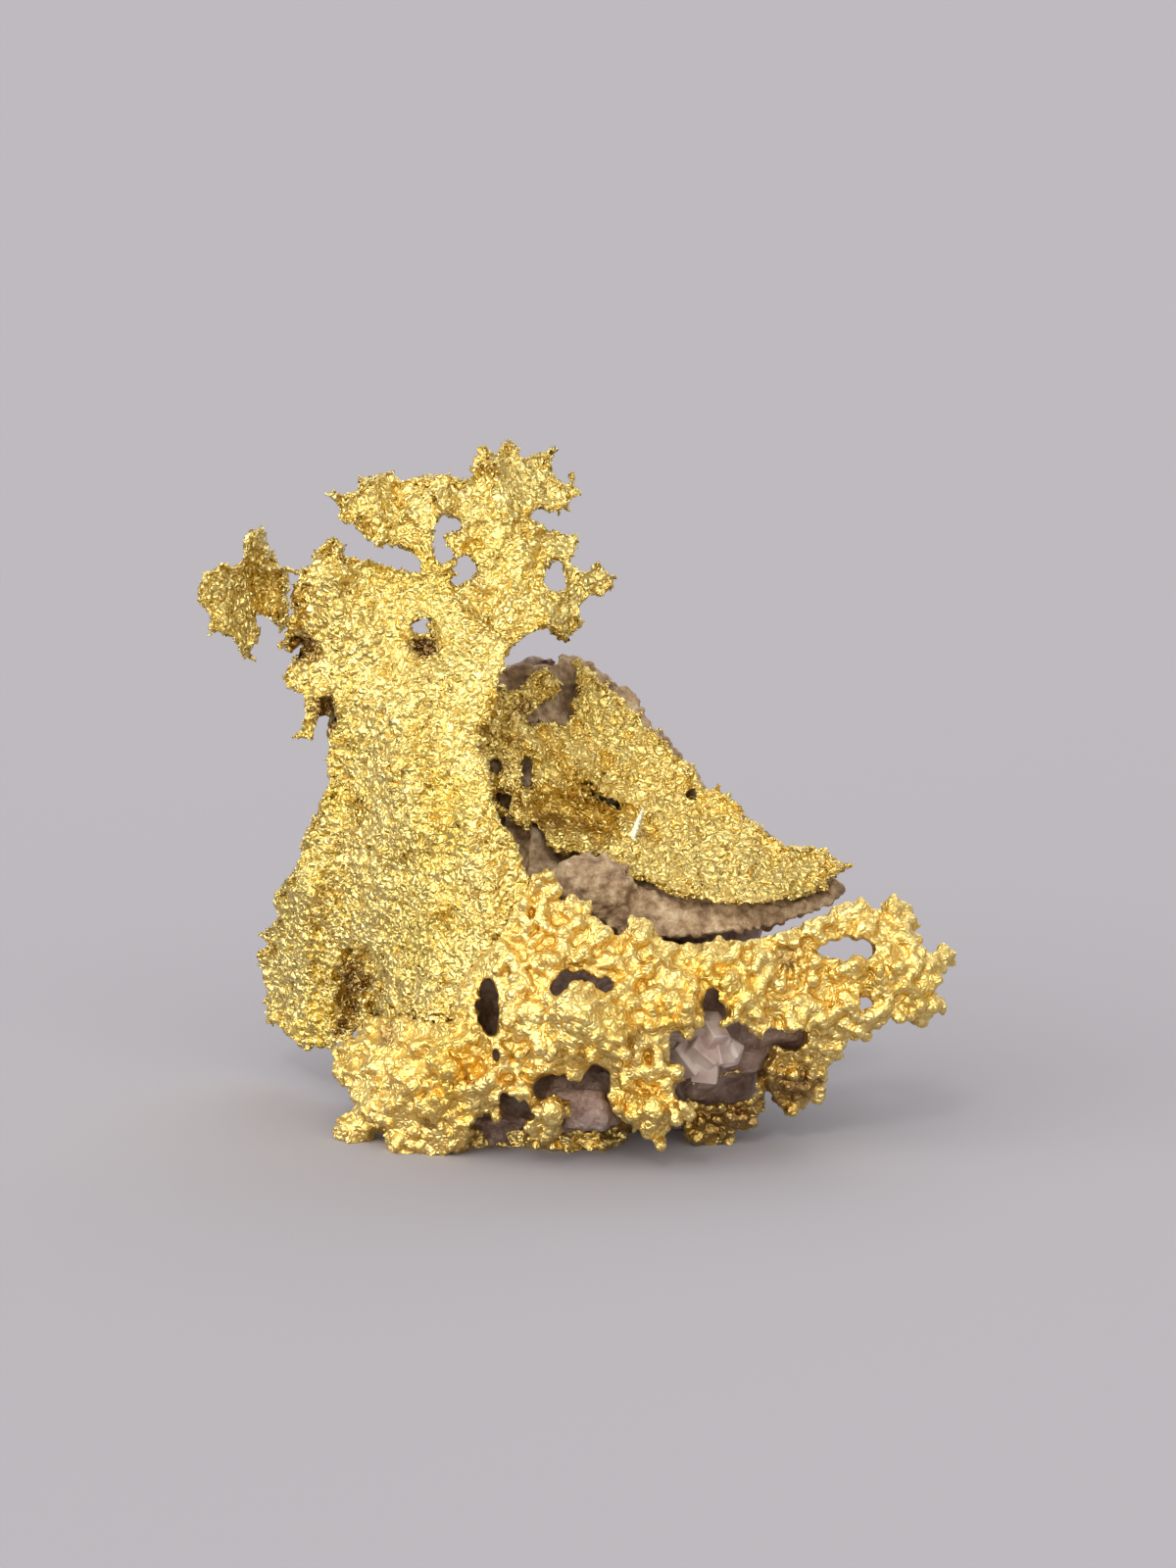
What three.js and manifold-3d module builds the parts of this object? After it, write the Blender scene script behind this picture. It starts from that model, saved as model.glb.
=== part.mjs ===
// A thumbnail specimen of native leaf gold on brown wall rock, in millimetres, +Z up.
// A tall crystallised leaf stands at the front left and branches into a lacy crown. A second
// leaf lies over a curved plate of rock at the right. A crust of knobbly crystals wraps the foot.
// The specimen rests on z = 0, with its origin under the middle of its bounding box.

import * as THREE from 'three';
import { mergeVertices } from 'three/addons/utils/BufferGeometryUtils.js';
import Module from 'manifold-3d';

const wasm = await Module();
wasm.setup();
const { Manifold } = wasm;

// Driving dimensions
const LEAF_THICKNESS = 0.42;
const PLATE_THICKNESS = 0.75;
const CRUST_THICKNESS = 0.7;
const SOLE_THICKNESS = 0.5;
const GAP = 0.1;
const FLOOR = 0;

// Outlines are drawn on the plane y = 0 as an eye in front of the specimen sees them.
// A drawn point is slid along its sight line to the depth where the piece lies.
const EYE = { x: 0.4, y: -128, z: 34.4 };

function drawn(x, z, y) {
  const reach = (y - EYE.y) / -EYE.y;
  return new THREE.Vector3(EYE.x + (x - EYE.x) * reach, y, EYE.z + (z - EYE.z) * reach);
}

// Repeatable random numbers from 0 to 1
function randomFrom(seed) {
  let state = seed;
  return () => {
    state = (state * 1664525 + 1013904223) % 4294967296;
    return state / 4294967296;
  };
}

// Solids from three.js geometry and back
function solidOf(geometry) {
  const bare = geometry.clone();
  bare.deleteAttribute('normal');
  bare.deleteAttribute('uv');
  const merged = mergeVertices(bare, 1e-4);
  return new Manifold(new wasm.Mesh({
    numProp: 3,
    vertProperties: merged.getAttribute('position').array,
    triVerts: new Uint32Array(merged.index.array),
  }));
}

function geometryOf(solid) {
  const mesh = solid.getMesh();
  const geometry = new THREE.BufferGeometry();
  geometry.setAttribute('position', new THREE.BufferAttribute(mesh.vertProperties, 3));
  geometry.setIndex(new THREE.BufferAttribute(mesh.triVerts, 1));
  const flat = geometry.toNonIndexed();
  flat.computeVertexNormals();
  return flat;
}

function largestPart(solid) {
  return solid.decompose().sort((a, b) => b.volume() - a.volume())[0];
}

function moved(geometry, place) {
  const position = geometry.getAttribute('position');
  const point = new THREE.Vector3();
  for (let i = 0; i < position.count; i++) {
    point.fromBufferAttribute(position, i);
    position.setXYZ(i, ...place(point));
  }
  return geometry;
}

// A depth net: rows of depths at heights zs and widths xs, joined by smooth curves
function depthNet({ xs, zs, rows, ripple = 0.06 }) {
  const spot = (list, value) => {
    const top = list.length - 2;
    const i = Math.min(top, Math.max(0, list.findLastIndex((v) => v <= value)));
    const share = (value - list[i]) / (list[i + 1] - list[i]);
    return [i, Math.min(1, Math.max(0, share))];
  };
  const curve = (a, b, c, d, t) => {
    const bend = 2 * a - 5 * b + 4 * c - d + t * (3 * b - 3 * c + d - a);
    return b + 0.5 * t * (c - a + t * bend);
  };
  const along = (row, i, t) => {
    const last = row.length - 1;
    return curve(row[Math.max(0, i - 1)], row[i], row[i + 1], row[Math.min(last, i + 2)], t);
  };
  return (x, z) => {
    const [i, s] = spot(xs, x);
    const [j, t] = spot(zs, z);
    const column = rows.map((row) => along(row, i, s));
    const swell = Math.sin(3.1 * x + 1.3 * z) + Math.sin(2.3 * z - 1.7 * x + 1);
    const waves = swell + Math.sin(4.3 * z + x);
    return along(column, j, t) + ripple * waves;
  };
}

// An outline with small teeth between its corners, as the edge of a crystallised leaf has
function ragged(corners, { pitch, bite, seed }) {
  const random = randomFrom(seed);
  const points = [];
  corners.forEach(([x, z], i) => {
    const [nextX, nextZ] = corners[(i + 1) % corners.length];
    const run = Math.hypot(nextX - x, nextZ - z);
    const steps = Math.max(1, Math.round(run / pitch));
    for (let k = 0; k < steps; k++) {
      const share = k / steps;
      const push = k === 0 ? 0 : bite * (2 * random() - 1);
      const across = [(nextZ - z) / run, (x - nextX) / run];
      const place = [x + (nextX - x) * share, z + (nextZ - z) * share];
      points.push(place.map((value, axis) => value + across[axis] * push));
    }
  });
  return points;
}

// The same outline with every edge moved out by a margin
function widened(points, margin) {
  if (margin === 0) return points;
  const turn = Math.sign(THREE.ShapeUtils.area(points.map(([x, z]) => new THREE.Vector2(x, z))));
  return points.map(([x, z], i) => {
    const before = points[(i + points.length - 1) % points.length];
    const after = points[(i + 1) % points.length];
    const along = new THREE.Vector2(after[0] - before[0], after[1] - before[1]).normalize();
    return [x + along.y * turn * margin, z - along.x * turn * margin];
  });
}

function inside(points, x, z) {
  let within = false;
  points.forEach(([ax, az], i) => {
    const [bx, bz] = points[(i + points.length - 1) % points.length];
    if (az > z !== bz > z && x < ((bx - ax) * (z - az)) / (bz - az) + ax) within = !within;
  });
  return within;
}

function anticlockwise(points) {
  const corners = points.map(([x, z]) => new THREE.Vector2(x, z));
  return THREE.ShapeUtils.isClockWise(corners) ? corners.reverse() : corners;
}

// The block that an outline cuts out along the sight lines, between two depths
function sightBlock(outline, holes, near, far) {
  const shape = new THREE.Shape(anticlockwise(outline));
  shape.holes = holes.map((hole) => new THREE.Path(anticlockwise(hole)));
  const block = new THREE.ExtrudeGeometry(shape, { depth: far - near, steps: 1, bevelEnabled: false });
  return solidOf(moved(block, (p) => drawn(p.x, p.y, far - p.z)));
}

// A point on a sheet, and the way that the sheet faces there
function onSheet(depth, x, z) {
  const step = 0.05;
  const at = (u, v) => drawn(u, v, depth(u, v));
  const across = at(x + step, z).sub(at(x - step, z));
  const up = at(x, z + step).sub(at(x, z - step));
  return { point: at(x, z), facing: across.cross(up).normalize() };
}

// A curved sheet of even thickness over a rectangle of the drawing
function curvedSheet(depth, thickness, [left, right], [low, high], cell) {
  const width = right - left;
  const height = high - low;
  const columns = Math.round(width / cell);
  const rows = Math.round(height / cell);
  const slab = new THREE.BoxGeometry(width, height, 1, columns, rows, 1);
  return solidOf(moved(slab, (p) => {
    const { point, facing } = onSheet(depth, p.x + left + width / 2, p.y + low + height / 2);
    return point.addScaledVector(facing, p.z * thickness);
  }));
}

// A leaf: a curved sheet cut to its toothed outline, with its holes. A leaf that is grown is the
// room that it needs among its neighbours: it is thicker, and has no teeth and no holes.
function leaf({ corners, teeth, holes = [], depth, thickness = LEAF_THICKNESS, cell }, grow = 0) {
  const outline = grow > 0 ? widened(corners, grow + teeth.bite) : ragged(corners, teeth);
  const openings = grow > 0 ? [] : holes;
  const xs = corners.map(([x]) => x);
  const zs = corners.map(([, z]) => z);
  const margin = 0.6;
  const widths = [Math.min(...xs) - margin, Math.max(...xs) + margin];
  const heights = [Math.min(...zs) - margin, Math.max(...zs) + margin];
  const sheet = curvedSheet(depth, thickness + 2 * grow, widths, heights, cell);
  return sheet.intersect(sightBlock(outline, openings, -14, 14));
}

// A knob of gold or rock: a small faceted body, a little uneven
function knob(centre, radius, { detail = 0, stretch = [1, 1, 1], seed = 1, uneven = 0.14 } = {}) {
  const random = randomFrom(seed);
  const spin = new THREE.Euler(6 * random(), 6 * random(), 6 * random());
  const body = new THREE.IcosahedronGeometry(1, detail);
  return solidOf(moved(body, (p) => {
    const swell = Math.sin(5 * p.x + seed) * Math.cos(4 * p.y - seed) + Math.sin(6 * p.z);
    const bump = 1 + uneven * swell;
    const turned = p.clone().applyEuler(detail === 0 ? spin : new THREE.Euler());
    turned.multiply(new THREE.Vector3(...stretch)).multiplyScalar(radius * bump);
    return turned.add(centre);
  }));
}

// An eight-sided gold crystal
function crystal(centre, radius, seed) {
  const random = randomFrom(seed);
  const body = new THREE.OctahedronGeometry(radius);
  const spin = new THREE.Euler(6 * random(), 6 * random(), 6 * random());
  return solidOf(moved(body, (p) => p.applyEuler(spin).add(centre)));
}

// The rock core: brown wall rock between the leaves, built from rounded masses
const ROCK_MASSES = [
  { centre: [0.4, 1.7, 2.4], radii: [5.4, 3.5, 3.0], seed: 3 },
  { centre: [-4.2, 2.6, 5.2], radii: [3.0, 2.6, 3.4], seed: 2 },
  { centre: [-1.4, 4.2, 7.4], radii: [2.9, 2.3, 4.6], seed: 5 },
  { centre: [-4.9, 3.5, 9.4], radii: [1.9, 1.8, 3.6], seed: 6 },
  { centre: [-0.9, 5.4, 11.3], radii: [1.5, 1.2, 1.4], seed: 7 },
  { centre: [3.7, 0.1, 2.1], radii: [1.7, 2.1, 1.6], seed: 9 },
  { centre: [5.4, 0.0, 3.2], radii: [1.8, 2.1, 1.3], seed: 16 },
  { centre: [3.4, -0.5, 3.7], radii: [3.4, 2.2, 1.8], seed: 12 },
  { centre: [2.8, 3.0, 6.2], radii: [3.1, 2.2, 2.2], seed: 4 },
  { centre: [0.2, -2.5, 1.5], radii: [1.3, 1.6, 0.9], seed: 14 },
  { centre: [-1.9, -1.6, 0.6], radii: [1.3, 1.1, 0.6], seed: 15 },
];

// The rock plate is thickest at its left end, where this mass is part of it
const PLATE_END = { centre: [0.4, 0.0, 6.95], radii: [1.4, 1.1, 1.05], seed: 8 };

function rockMass({ centre, radii, seed }, grow = 0) {
  const stretch = radii.map((radius) => radius + grow);
  return knob(new THREE.Vector3(...centre), 1, { detail: 1, stretch, seed, uneven: 0.07 });
}

function inRock(point, margin) {
  return [...ROCK_MASSES, PLATE_END].some(({ centre, radii }) => {
    const offset = new THREE.Vector3(...centre).sub(point);
    const reach = new THREE.Vector3(...radii).addScalar(margin + GAP);
    return offset.divide(reach).length() < 1.08;
  });
}

// Crystals scattered on the front of a sheet, inside its outline
function studs({ corners, holes = [], depth, thickness = LEAF_THICKNESS, crystals }, grow = 0) {
  const random = randomFrom(crystals.seed);
  const xs = corners.map(([x]) => x);
  const zs = corners.map(([, z]) => z);
  const made = [];
  for (let tries = 0; made.length < crystals.count && tries < 5000; tries++) {
    const x = THREE.MathUtils.lerp(Math.min(...xs), Math.max(...xs), random());
    const z = THREE.MathUtils.lerp(Math.min(...zs), Math.max(...zs), random());
    const radius = THREE.MathUtils.lerp(crystals.least, crystals.most, random());
    if (!inside(corners, x, z) || holes.some((hole) => inside(hole, x, z))) continue;
    const { point, facing } = onSheet(depth, x, z);
    point.addScaledVector(facing, thickness / 2 - 0.1);
    if (inRock(point, radius)) continue;
    made.push(crystal(point, radius + grow, crystals.seed + made.length));
  }
  return made;
}

// Everything below the surface that the specimen stands on is cut away
const belowFloor = solidOf(new THREE.BoxGeometry(60, 60, 10).translate(0, 0, FLOOR - 5));

// The main leaf: the tall sheet at the front left, up to the fork of its crown
const mainDepth = depthNet({
  xs: [-9, -7.6, -6.5, -5.3, -3.5, -1],
  zs: [1, 4, 7, 10, 13, 16, 20],
  rows: [
    [6.6, 5.0, 3.6, 0.6, -2.2, -3.0],
    [6.8, 4.7, 3.8, 0.2, -2.4, -3.4],
    [5.2, 3.2, 1.8, 0.2, -1.6, -2.6],
    [4.2, 2.9, 1.9, 0.6, -0.9, -1.6],
    [3.4, 2.7, 2.1, 1.5, 0.8, 0.5],
    [3.2, 3.0, 2.8, 2.6, 2.3, 2.1],
    [4.4, 4.2, 4.1, 4.0, 3.7, 3.3],
  ],
});
const mainLeaf = {
  corners: [
    [-6.9, 2.4], [-7.6, 2.4], [-8.1, 2.9], [-8.6, 3.2], [-8.6, 4.2], [-8.8, 5.1], [-8.4, 5.4],
    [-8.75, 5.65], [-8.3, 6.0], [-8.3, 6.7], [-8.0, 7.2], [-7.7, 7.6], [-7.6, 8.2], [-7.3, 8.9],
    [-6.9, 9.5], [-6.75, 10.0], [-6.8, 11.4], [-6.6, 12.3], [-7.0, 12.0], [-7.2, 11.6],
    [-7.3, 11.2], [-7.6, 11.3], [-7.45, 11.9], [-7.4, 12.5], [-7.9, 12.65], [-8.05, 13.0],
    [-7.8, 13.4], [-7.3, 13.6], [-7.55, 13.85], [-8.15, 13.85], [-7.85, 14.2], [-7.7, 14.9],
    [-7.7, 15.5], [-7.45, 15.9], [-7.2, 16.4], [-6.9, 16.7], [-6.55, 16.9], [-6.25, 16.4],
    [-5.8, 16.25], [-5.3, 16.1], [-4.8, 16.0], [-4.3, 15.85], [-3.9, 15.9], [-3.3, 16.2],
    [-3.25, 15.9], [-3.4, 15.4], [-2.6, 14.6], [-1.85, 13.75], [-1.95, 13.3], [-2.1, 12.6],
    [-2.3, 11.9], [-2.7, 11.2], [-2.4, 10.5], [-2.3, 9.6], [-2.1, 8.9], [-1.7, 8.5],
    [-1.5, 7.8], [-1.2, 7.2], [-0.9, 6.5], [-1.3, 5.6], [-2.1, 5.0], [-2.8, 4.8], [-2.95, 3.8],
    [-3.1, 2.7], [-4.0, 2.7], [-5.0, 3.0], [-5.6, 3.4], [-6.1, 2.8],
  ],
  teeth: { pitch: 0.9, bite: 0.16, seed: 11 },
  holes: [
    [[-4.6, 13.95], [-4.4, 14.5], [-3.9, 14.55], [-3.85, 13.9], [-3.95, 13.35], [-4.15, 13.6]],
  ],
  depth: mainDepth,
  cell: 1.7,
  crystals: { count: 8, least: 0.26, most: 0.4, seed: 21 },
};

// The crown: three lacy lobes that fork from the head of the main leaf
const crownDepth = depthNet({
  xs: [-7, -5.6, -4.8, -3.6, -2, -0.6, 1.2],
  zs: [13.5, 15, 16.5, 18, 20],
  rows: [
    [2.6, 2.4, 2.2, 1.9, 1.0, 1.2, 2.4],
    [3.0, 2.8, 2.6, 2.4, 1.8, 1.6, 2.6],
    [3.0, 3.0, 3.1, 2.8, 2.3, 2.4, 3.2],
    [3.1, 3.4, 3.9, 3.3, 3.0, 3.4, 4.4],
    [4.0, 4.4, 4.9, 4.4, 4.2, 4.6, 5.2],
  ],
  ripple: 0.08,
});
const crownLeft = {
  corners: [
    [-6.75, 18.05], [-6.4, 18.1], [-6.0, 18.1], [-5.8, 18.45], [-5.3, 18.6], [-5.0, 18.65],
    [-4.85, 18.3], [-4.75, 17.5], [-4.2, 17.25], [-3.95, 17.0], [-3.95, 16.5], [-3.75, 16.15],
    [-4.15, 16.15], [-4.5, 16.5], [-4.9, 16.6], [-5.4, 16.75], [-5.7, 16.75], [-5.75, 17.1],
    [-6.1, 17.3], [-6.45, 17.35], [-6.35, 17.7],
  ],
  teeth: { pitch: 0.8, bite: 0.1, seed: 12 },
  depth: crownDepth,
  cell: 1.25,
  crystals: { count: 4, least: 0.18, most: 0.3, seed: 22 },
};
const crownTop = {
  corners: [
    [-4.75, 18.4], [-4.0, 18.6], [-3.4, 18.6], [-3.05, 18.4], [-2.7, 18.5], [-2.7, 18.9],
    [-2.5, 19.25], [-2.2, 19.2], [-2.0, 19.0], [-1.95, 19.45], [-1.75, 19.6], [-1.55, 19.4],
    [-1.5, 19.0], [-1.1, 19.15], [-0.65, 19.15], [-0.6, 18.6], [-0.35, 18.3], [-0.05, 18.4],
    [0.15, 18.1], [-0.1, 17.85], [-0.45, 17.6], [-1.0, 17.7], [-1.55, 17.45], [-3.0, 17.35],
    [-3.3, 17.5], [-3.6, 17.45], [-3.9, 17.15], [-4.15, 17.35], [-4.65, 17.6],
  ],
  teeth: { pitch: 0.9, bite: 0.1, seed: 13 },
  depth: crownDepth,
  cell: 1.25,
  crystals: { count: 4, least: 0.2, most: 0.32, seed: 23 },
};
const crownRight = {
  corners: [
    [-3.2, 15.4], [-2.8, 15.8], [-2.65, 16.15], [-3.2, 16.4], [-3.65, 16.75], [-3.4, 17.05],
    [-3.0, 17.0], [-3.0, 17.2], [-1.5, 17.3], [-1.2, 17.35], [-0.85, 16.95], [-0.35, 17.0],
    [0.1, 16.85], [0.05, 16.6], [-0.2, 16.45], [0.0, 16.0], [0.3, 15.8], [0.7, 16.05],
    [0.95, 15.8], [1.05, 15.5], [0.75, 15.25], [0.45, 15.3], [0.15, 14.95], [0.05, 14.75],
    [0.25, 14.5], [0.05, 14.25], [-0.3, 14.05], [-0.6, 14.35], [-1.0, 14.35], [-1.6, 13.95],
    [-1.75, 13.8], [-2.5, 14.65],
  ],
  teeth: { pitch: 0.8, bite: 0.1, seed: 14 },
  holes: [
    [[-0.8, 16.15], [-0.35, 16.25], [-0.25, 15.9], [-0.3, 15.4], [-0.65, 15.35], [-0.85, 15.6]],
  ],
  depth: crownDepth,
  cell: 1.25,
  crystals: { count: 4, least: 0.2, most: 0.32, seed: 24 },
};

// The curled flap at the far left, a leaf that has rolled back from the main one
const flap = {
  corners: [
    [-7.9, 15.4], [-7.95, 15.9], [-8.2, 16.25], [-8.45, 16.6], [-8.45, 17.0], [-8.6, 17.15],
    [-8.9, 17.0], [-9.05, 16.8], [-9.05, 16.4], [-8.85, 16.05], [-9.2, 16.1], [-9.6, 16.15],
    [-10.0, 15.95], [-10.3, 15.65], [-10.4, 15.3], [-10.3, 14.95], [-10.0, 14.75],
    [-10.05, 14.3], [-9.7, 14.15], [-9.3, 14.0], [-9.15, 13.55], [-8.95, 13.55], [-8.95, 13.9],
    [-8.75, 14.2], [-8.8, 14.75], [-8.4, 14.75], [-8.15, 14.35], [-8.0, 14.4],
  ],
  teeth: { pitch: 0.7, bite: 0.08, seed: 15 },
  depth: depthNet({
    xs: [-10.5, -9.4, -8.7, -8.2, -7.7],
    zs: [13.5, 15, 16, 17.2],
    rows: [
      [2.2, 2.8, 3.6, 4.0, 3.6],
      [2.3, 3.1, 4.2, 4.6, 3.4],
      [2.5, 3.3, 4.0, 4.9, 3.9],
      [2.6, 3.0, 3.2, 4.0, 4.0],
    ],
  }),
  thickness: 0.36,
  cell: 1.0,
  crystals: { count: 4, least: 0.15, most: 0.24, seed: 25 },
};

// The right leaf: a dished sheet of gold that slopes forward over the rock plate
const dishDepth = depthNet({
  xs: [-3, -1, 1, 3, 5, 7.8],
  zs: [5.6, 6.6, 8, 9.5, 11.5, 14],
  rows: [
    [0.6, -0.9, -1.8, -2.2, -2.0, 0.4],
    [0.9, -0.4, -0.9, -1.4, -1.3, 0.9],
    [1.0, 0.7, 0.9, 0.9, 0.9, 1.9],
    [1.2, 1.5, 2.3, 2.5, 2.3, 2.8],
    [2.2, 2.9, 4.0, 4.2, 3.9, 4.0],
    [3.6, 4.3, 5.4, 5.9, 5.6, 5.6],
  ],
  ripple: 0.05,
});
const rightLeaf = {
  corners: [
    [-2.4, 12.5], [-1.5, 12.6], [-1.1, 13.1], [-0.75, 13.2], [-0.35, 12.8], [-0.55, 12.35],
    [-0.95, 12.25], [-1.25, 11.85], [-0.75, 11.65], [-0.3, 11.55], [-0.05, 11.95], [0.1, 12.5],
    [0.1, 13.35], [0.45, 13.1], [0.9, 12.75], [1.4, 12.3], [1.75, 11.8], [2.1, 11.5],
    [2.5, 11.1], [2.9, 10.7], [3.35, 10.5], [3.4, 10.1], [3.6, 9.65], [3.95, 9.8], [4.35, 9.6],
    [4.75, 9.2], [4.6, 8.95], [5.0, 8.9], [5.5, 8.5], [5.9, 8.2], [6.4, 8.15], [7.1, 8.05],
    [7.25, 7.75], [7.55, 7.55], [7.4, 7.35], [7.05, 7.3], [7.1, 6.95], [6.0, 6.7], [5.0, 6.55],
    [4.0, 6.6], [3.2, 6.75], [2.6, 6.95], [2.1, 7.25], [1.6, 7.3], [1.2, 7.6], [0.6, 7.95],
    [-0.4, 8.05], [-0.75, 8.2], [-0.8, 8.75], [-1.55, 8.8], [-2.3, 9.4], [-2.6, 10.6],
    [-2.8, 11.6],
  ],
  teeth: { pitch: 0.9, bite: 0.16, seed: 16 },
  holes: [
    [[0.1, 10.2], [0.6, 9.9], [1.2, 9.35], [0.5, 9.5]],
    [[3.15, 9.75], [3.35, 9.95], [3.5, 9.65]],
  ],
  depth: dishDepth,
  cell: 1.6,
  crystals: { count: 7, least: 0.22, most: 0.36, seed: 26 },
};

// The rock plate: a curved flake of brown wall rock under the right leaf, with a broken rim
const plateOffset = LEAF_THICKNESS / 2 + PLATE_THICKNESS / 2 + GAP;
const slopeStretch = 1.35;
const rockPlate = {
  corners: [
    [-2.2, 12.4], [-2.05, 13.1], [-1.4, 13.3], [-0.4, 13.2], [-0.3, 13.5], [0.1, 13.55],
    [0.55, 13.25], [1.2, 12.7], [1.7, 12.4], [1.9, 11.95], [2.2, 11.5], [2.9, 10.8],
    [3.4, 10.2], [3.7, 9.7], [4.6, 9.1], [5.4, 8.4], [6.4, 7.9], [7.1, 7.4], [7.5, 6.95],
    [7.2, 6.6], [6.5, 6.3], [5.6, 5.95], [4.6, 5.8], [3.4, 5.65], [2.4, 5.6], [1.3, 5.7],
    [0.6, 6.2], [-0.2, 6.6], [-1.4, 6.9], [-1.8, 8.4], [-2.0, 9.6], [-2.4, 11.0],
  ],
  teeth: { pitch: 1.2, bite: 0.06, seed: 17 },
  depth: (x, z) => dishDepth(x, z) + plateOffset * slopeStretch,
  thickness: PLATE_THICKNESS,
  cell: 2.0,
};

function plateWithEnd(grow = 0) {
  return leaf(rockPlate, grow).add(rockMass(PLATE_END, grow));
}

// The crystal crust: the knobbly gold that wraps the foot, with windows on the rock behind it
const crustDepth = depthNet({
  xs: [-7, -5, -3, -1, 1, 3, 5, 7.6],
  zs: [-0.9, 1, 3, 5, 7.2],
  rows: [
    [-0.9, -2.0, -2.1, -2.0, -2.0, -2.6, -1.6, -1.4],
    [0.4, -1.9, -3.2, -3.8, -4.2, -4.2, -2.6, -1.4],
    [2.6, -0.9, -3.2, -4.2, -4.8, -4.4, -3.4, -2.4],
    [3.6, -0.2, -2.6, -3.6, -3.8, -3.2, -2.6, -2.3],
    [3.6, 0.0, -2.2, -2.8, -2.4, -1.9, -1.6, -1.5],
  ],
  ripple: 0.12,
});
const crust = {
  corners: [
    [-6.7, 2.2], [-6.6, 1.7], [-6.2, 1.1], [-5.9, 0.5], [-5.3, 0.2], [-5.0, -0.7],
    [-4.2, -0.75], [-3.2, -0.6], [-2.8, 0.55], [-1.6, 0.65], [-1.1, 0.3], [-0.4, 0.0],
    [0.0, 0.5], [1.2, 0.7], [1.8, 0.1], [2.6, 0.3], [2.9, 1.0], [3.3, 1.3], [2.7, 2.0],
    [2.7, 2.8], [3.3, 3.1], [3.55, 3.6], [3.85, 4.25], [4.15, 3.9], [4.3, 3.3], [4.8, 3.1],
    [5.5, 2.7], [6.2, 2.3], [6.8, 2.5], [7.4, 2.1], [7.5, 2.8], [7.3, 3.8], [7.4, 4.85],
    [6.75, 5.0], [6.95, 5.35], [7.25, 5.55], [7.2, 6.2], [6.6, 6.0], [5.9, 5.65], [5.0, 5.45],
    [3.8, 5.35], [2.4, 5.35], [2.2, 5.8], [1.6, 5.8], [1.2, 5.45], [0.7, 5.95], [0.1, 6.15],
    [-0.4, 6.4], [-0.7, 7.0], [-1.0, 7.1], [-1.5, 6.4], [-2.2, 5.4], [-3.2, 4.2], [-3.4, 3.0],
    [-4.6, 3.2], [-5.6, 3.2],
  ],
  teeth: { pitch: 1.3, bite: 0.16, seed: 18 },
  holes: [
    [[-2.55, 4.35], [-2.3, 4.4], [-2.1, 3.9], [-2.15, 2.6], [-2.4, 2.7], [-2.85, 3.4]],
    [[-0.45, 4.0], [-0.2, 4.45], [0.3, 4.65], [0.9, 4.2], [0.7, 4.0], [0.3, 4.25], [-0.1, 4.1]],
    [[-0.95, 1.0], [-0.3, 1.7], [0.15, 1.35], [0.55, 1.95], [1.05, 1.7], [0.95, 0.9], [0.2, 0.85]],
  ],
  depth: crustDepth,
  thickness: CRUST_THICKNESS,
  cell: 2.4,
  crystals: { count: 8, least: 0.36, most: 0.52, seed: 27 },
};

// Single lumps that stand out of the crust: drawn place, radius, and how far each stands forward
const CRUST_LUMPS = [
  [0.3, 3.3, 1.0, 0.1], [0.9, 2.5, 0.6, 0.3], [-0.6, 2.8, 0.55, 0.2], [-0.7, 0.75, 0.55, 0.3],
  [2.6, 1.6, 0.5, 0.5], [3.0, 1.1, 0.4, 0.5], [2.2, 0.75, 0.42, 0.4], [2.25, 0.3, 0.38, 0.3],
  [1.6, 1.9, 0.42, 0.4], [3.0, 3.5, 0.55, 0.1], [2.1, 4.7, 0.45, 0.2], [5.0, 3.9, 0.5, 0.1],
  [6.2, 3.1, 0.5, 0.15], [1.8, 5.6, 0.4, 0.3], [0.1, 6.05, 0.4, 0.3], [-0.8, 7.1, 0.36, 0.2],
  [-2.6, 1.4, 0.6, 0.2], [-4.4, 1.5, 0.55, 0.3], [-3.5, 2.0, 0.5, 0.2], [-5.3, 2.0, 0.5, 0.2],
];
const FOOT_BALL = { x: -6.2, z: 0.0, y: -0.9, radius: 0.5 };

function crystalCrust(grow = 0) {
  const lumps = CRUST_LUMPS.map(([x, z, radius, forward], i) => {
    const { point, facing } = onSheet(crustDepth, x, z);
    const detail = radius > 0.8 ? 1 : 0;
    return knob(point.addScaledVector(facing, forward), radius + grow, { detail, seed: 40 + i });
  });
  const ballAt = drawn(FOOT_BALL.x, FOOT_BALL.z, FOOT_BALL.y);
  const ball = knob(ballAt, FOOT_BALL.radius + grow, { detail: 1, seed: 70 });
  const neckAt = drawn(FOOT_BALL.x + 0.55, FOOT_BALL.z + 0.4, FOOT_BALL.y - 0.2);
  const neck = knob(neckAt, 0.42 + grow, { seed: 71 });
  return Manifold.union([leaf(crust, grow), ...studs(crust, grow), ...lumps, ball, neck]);
}

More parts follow.
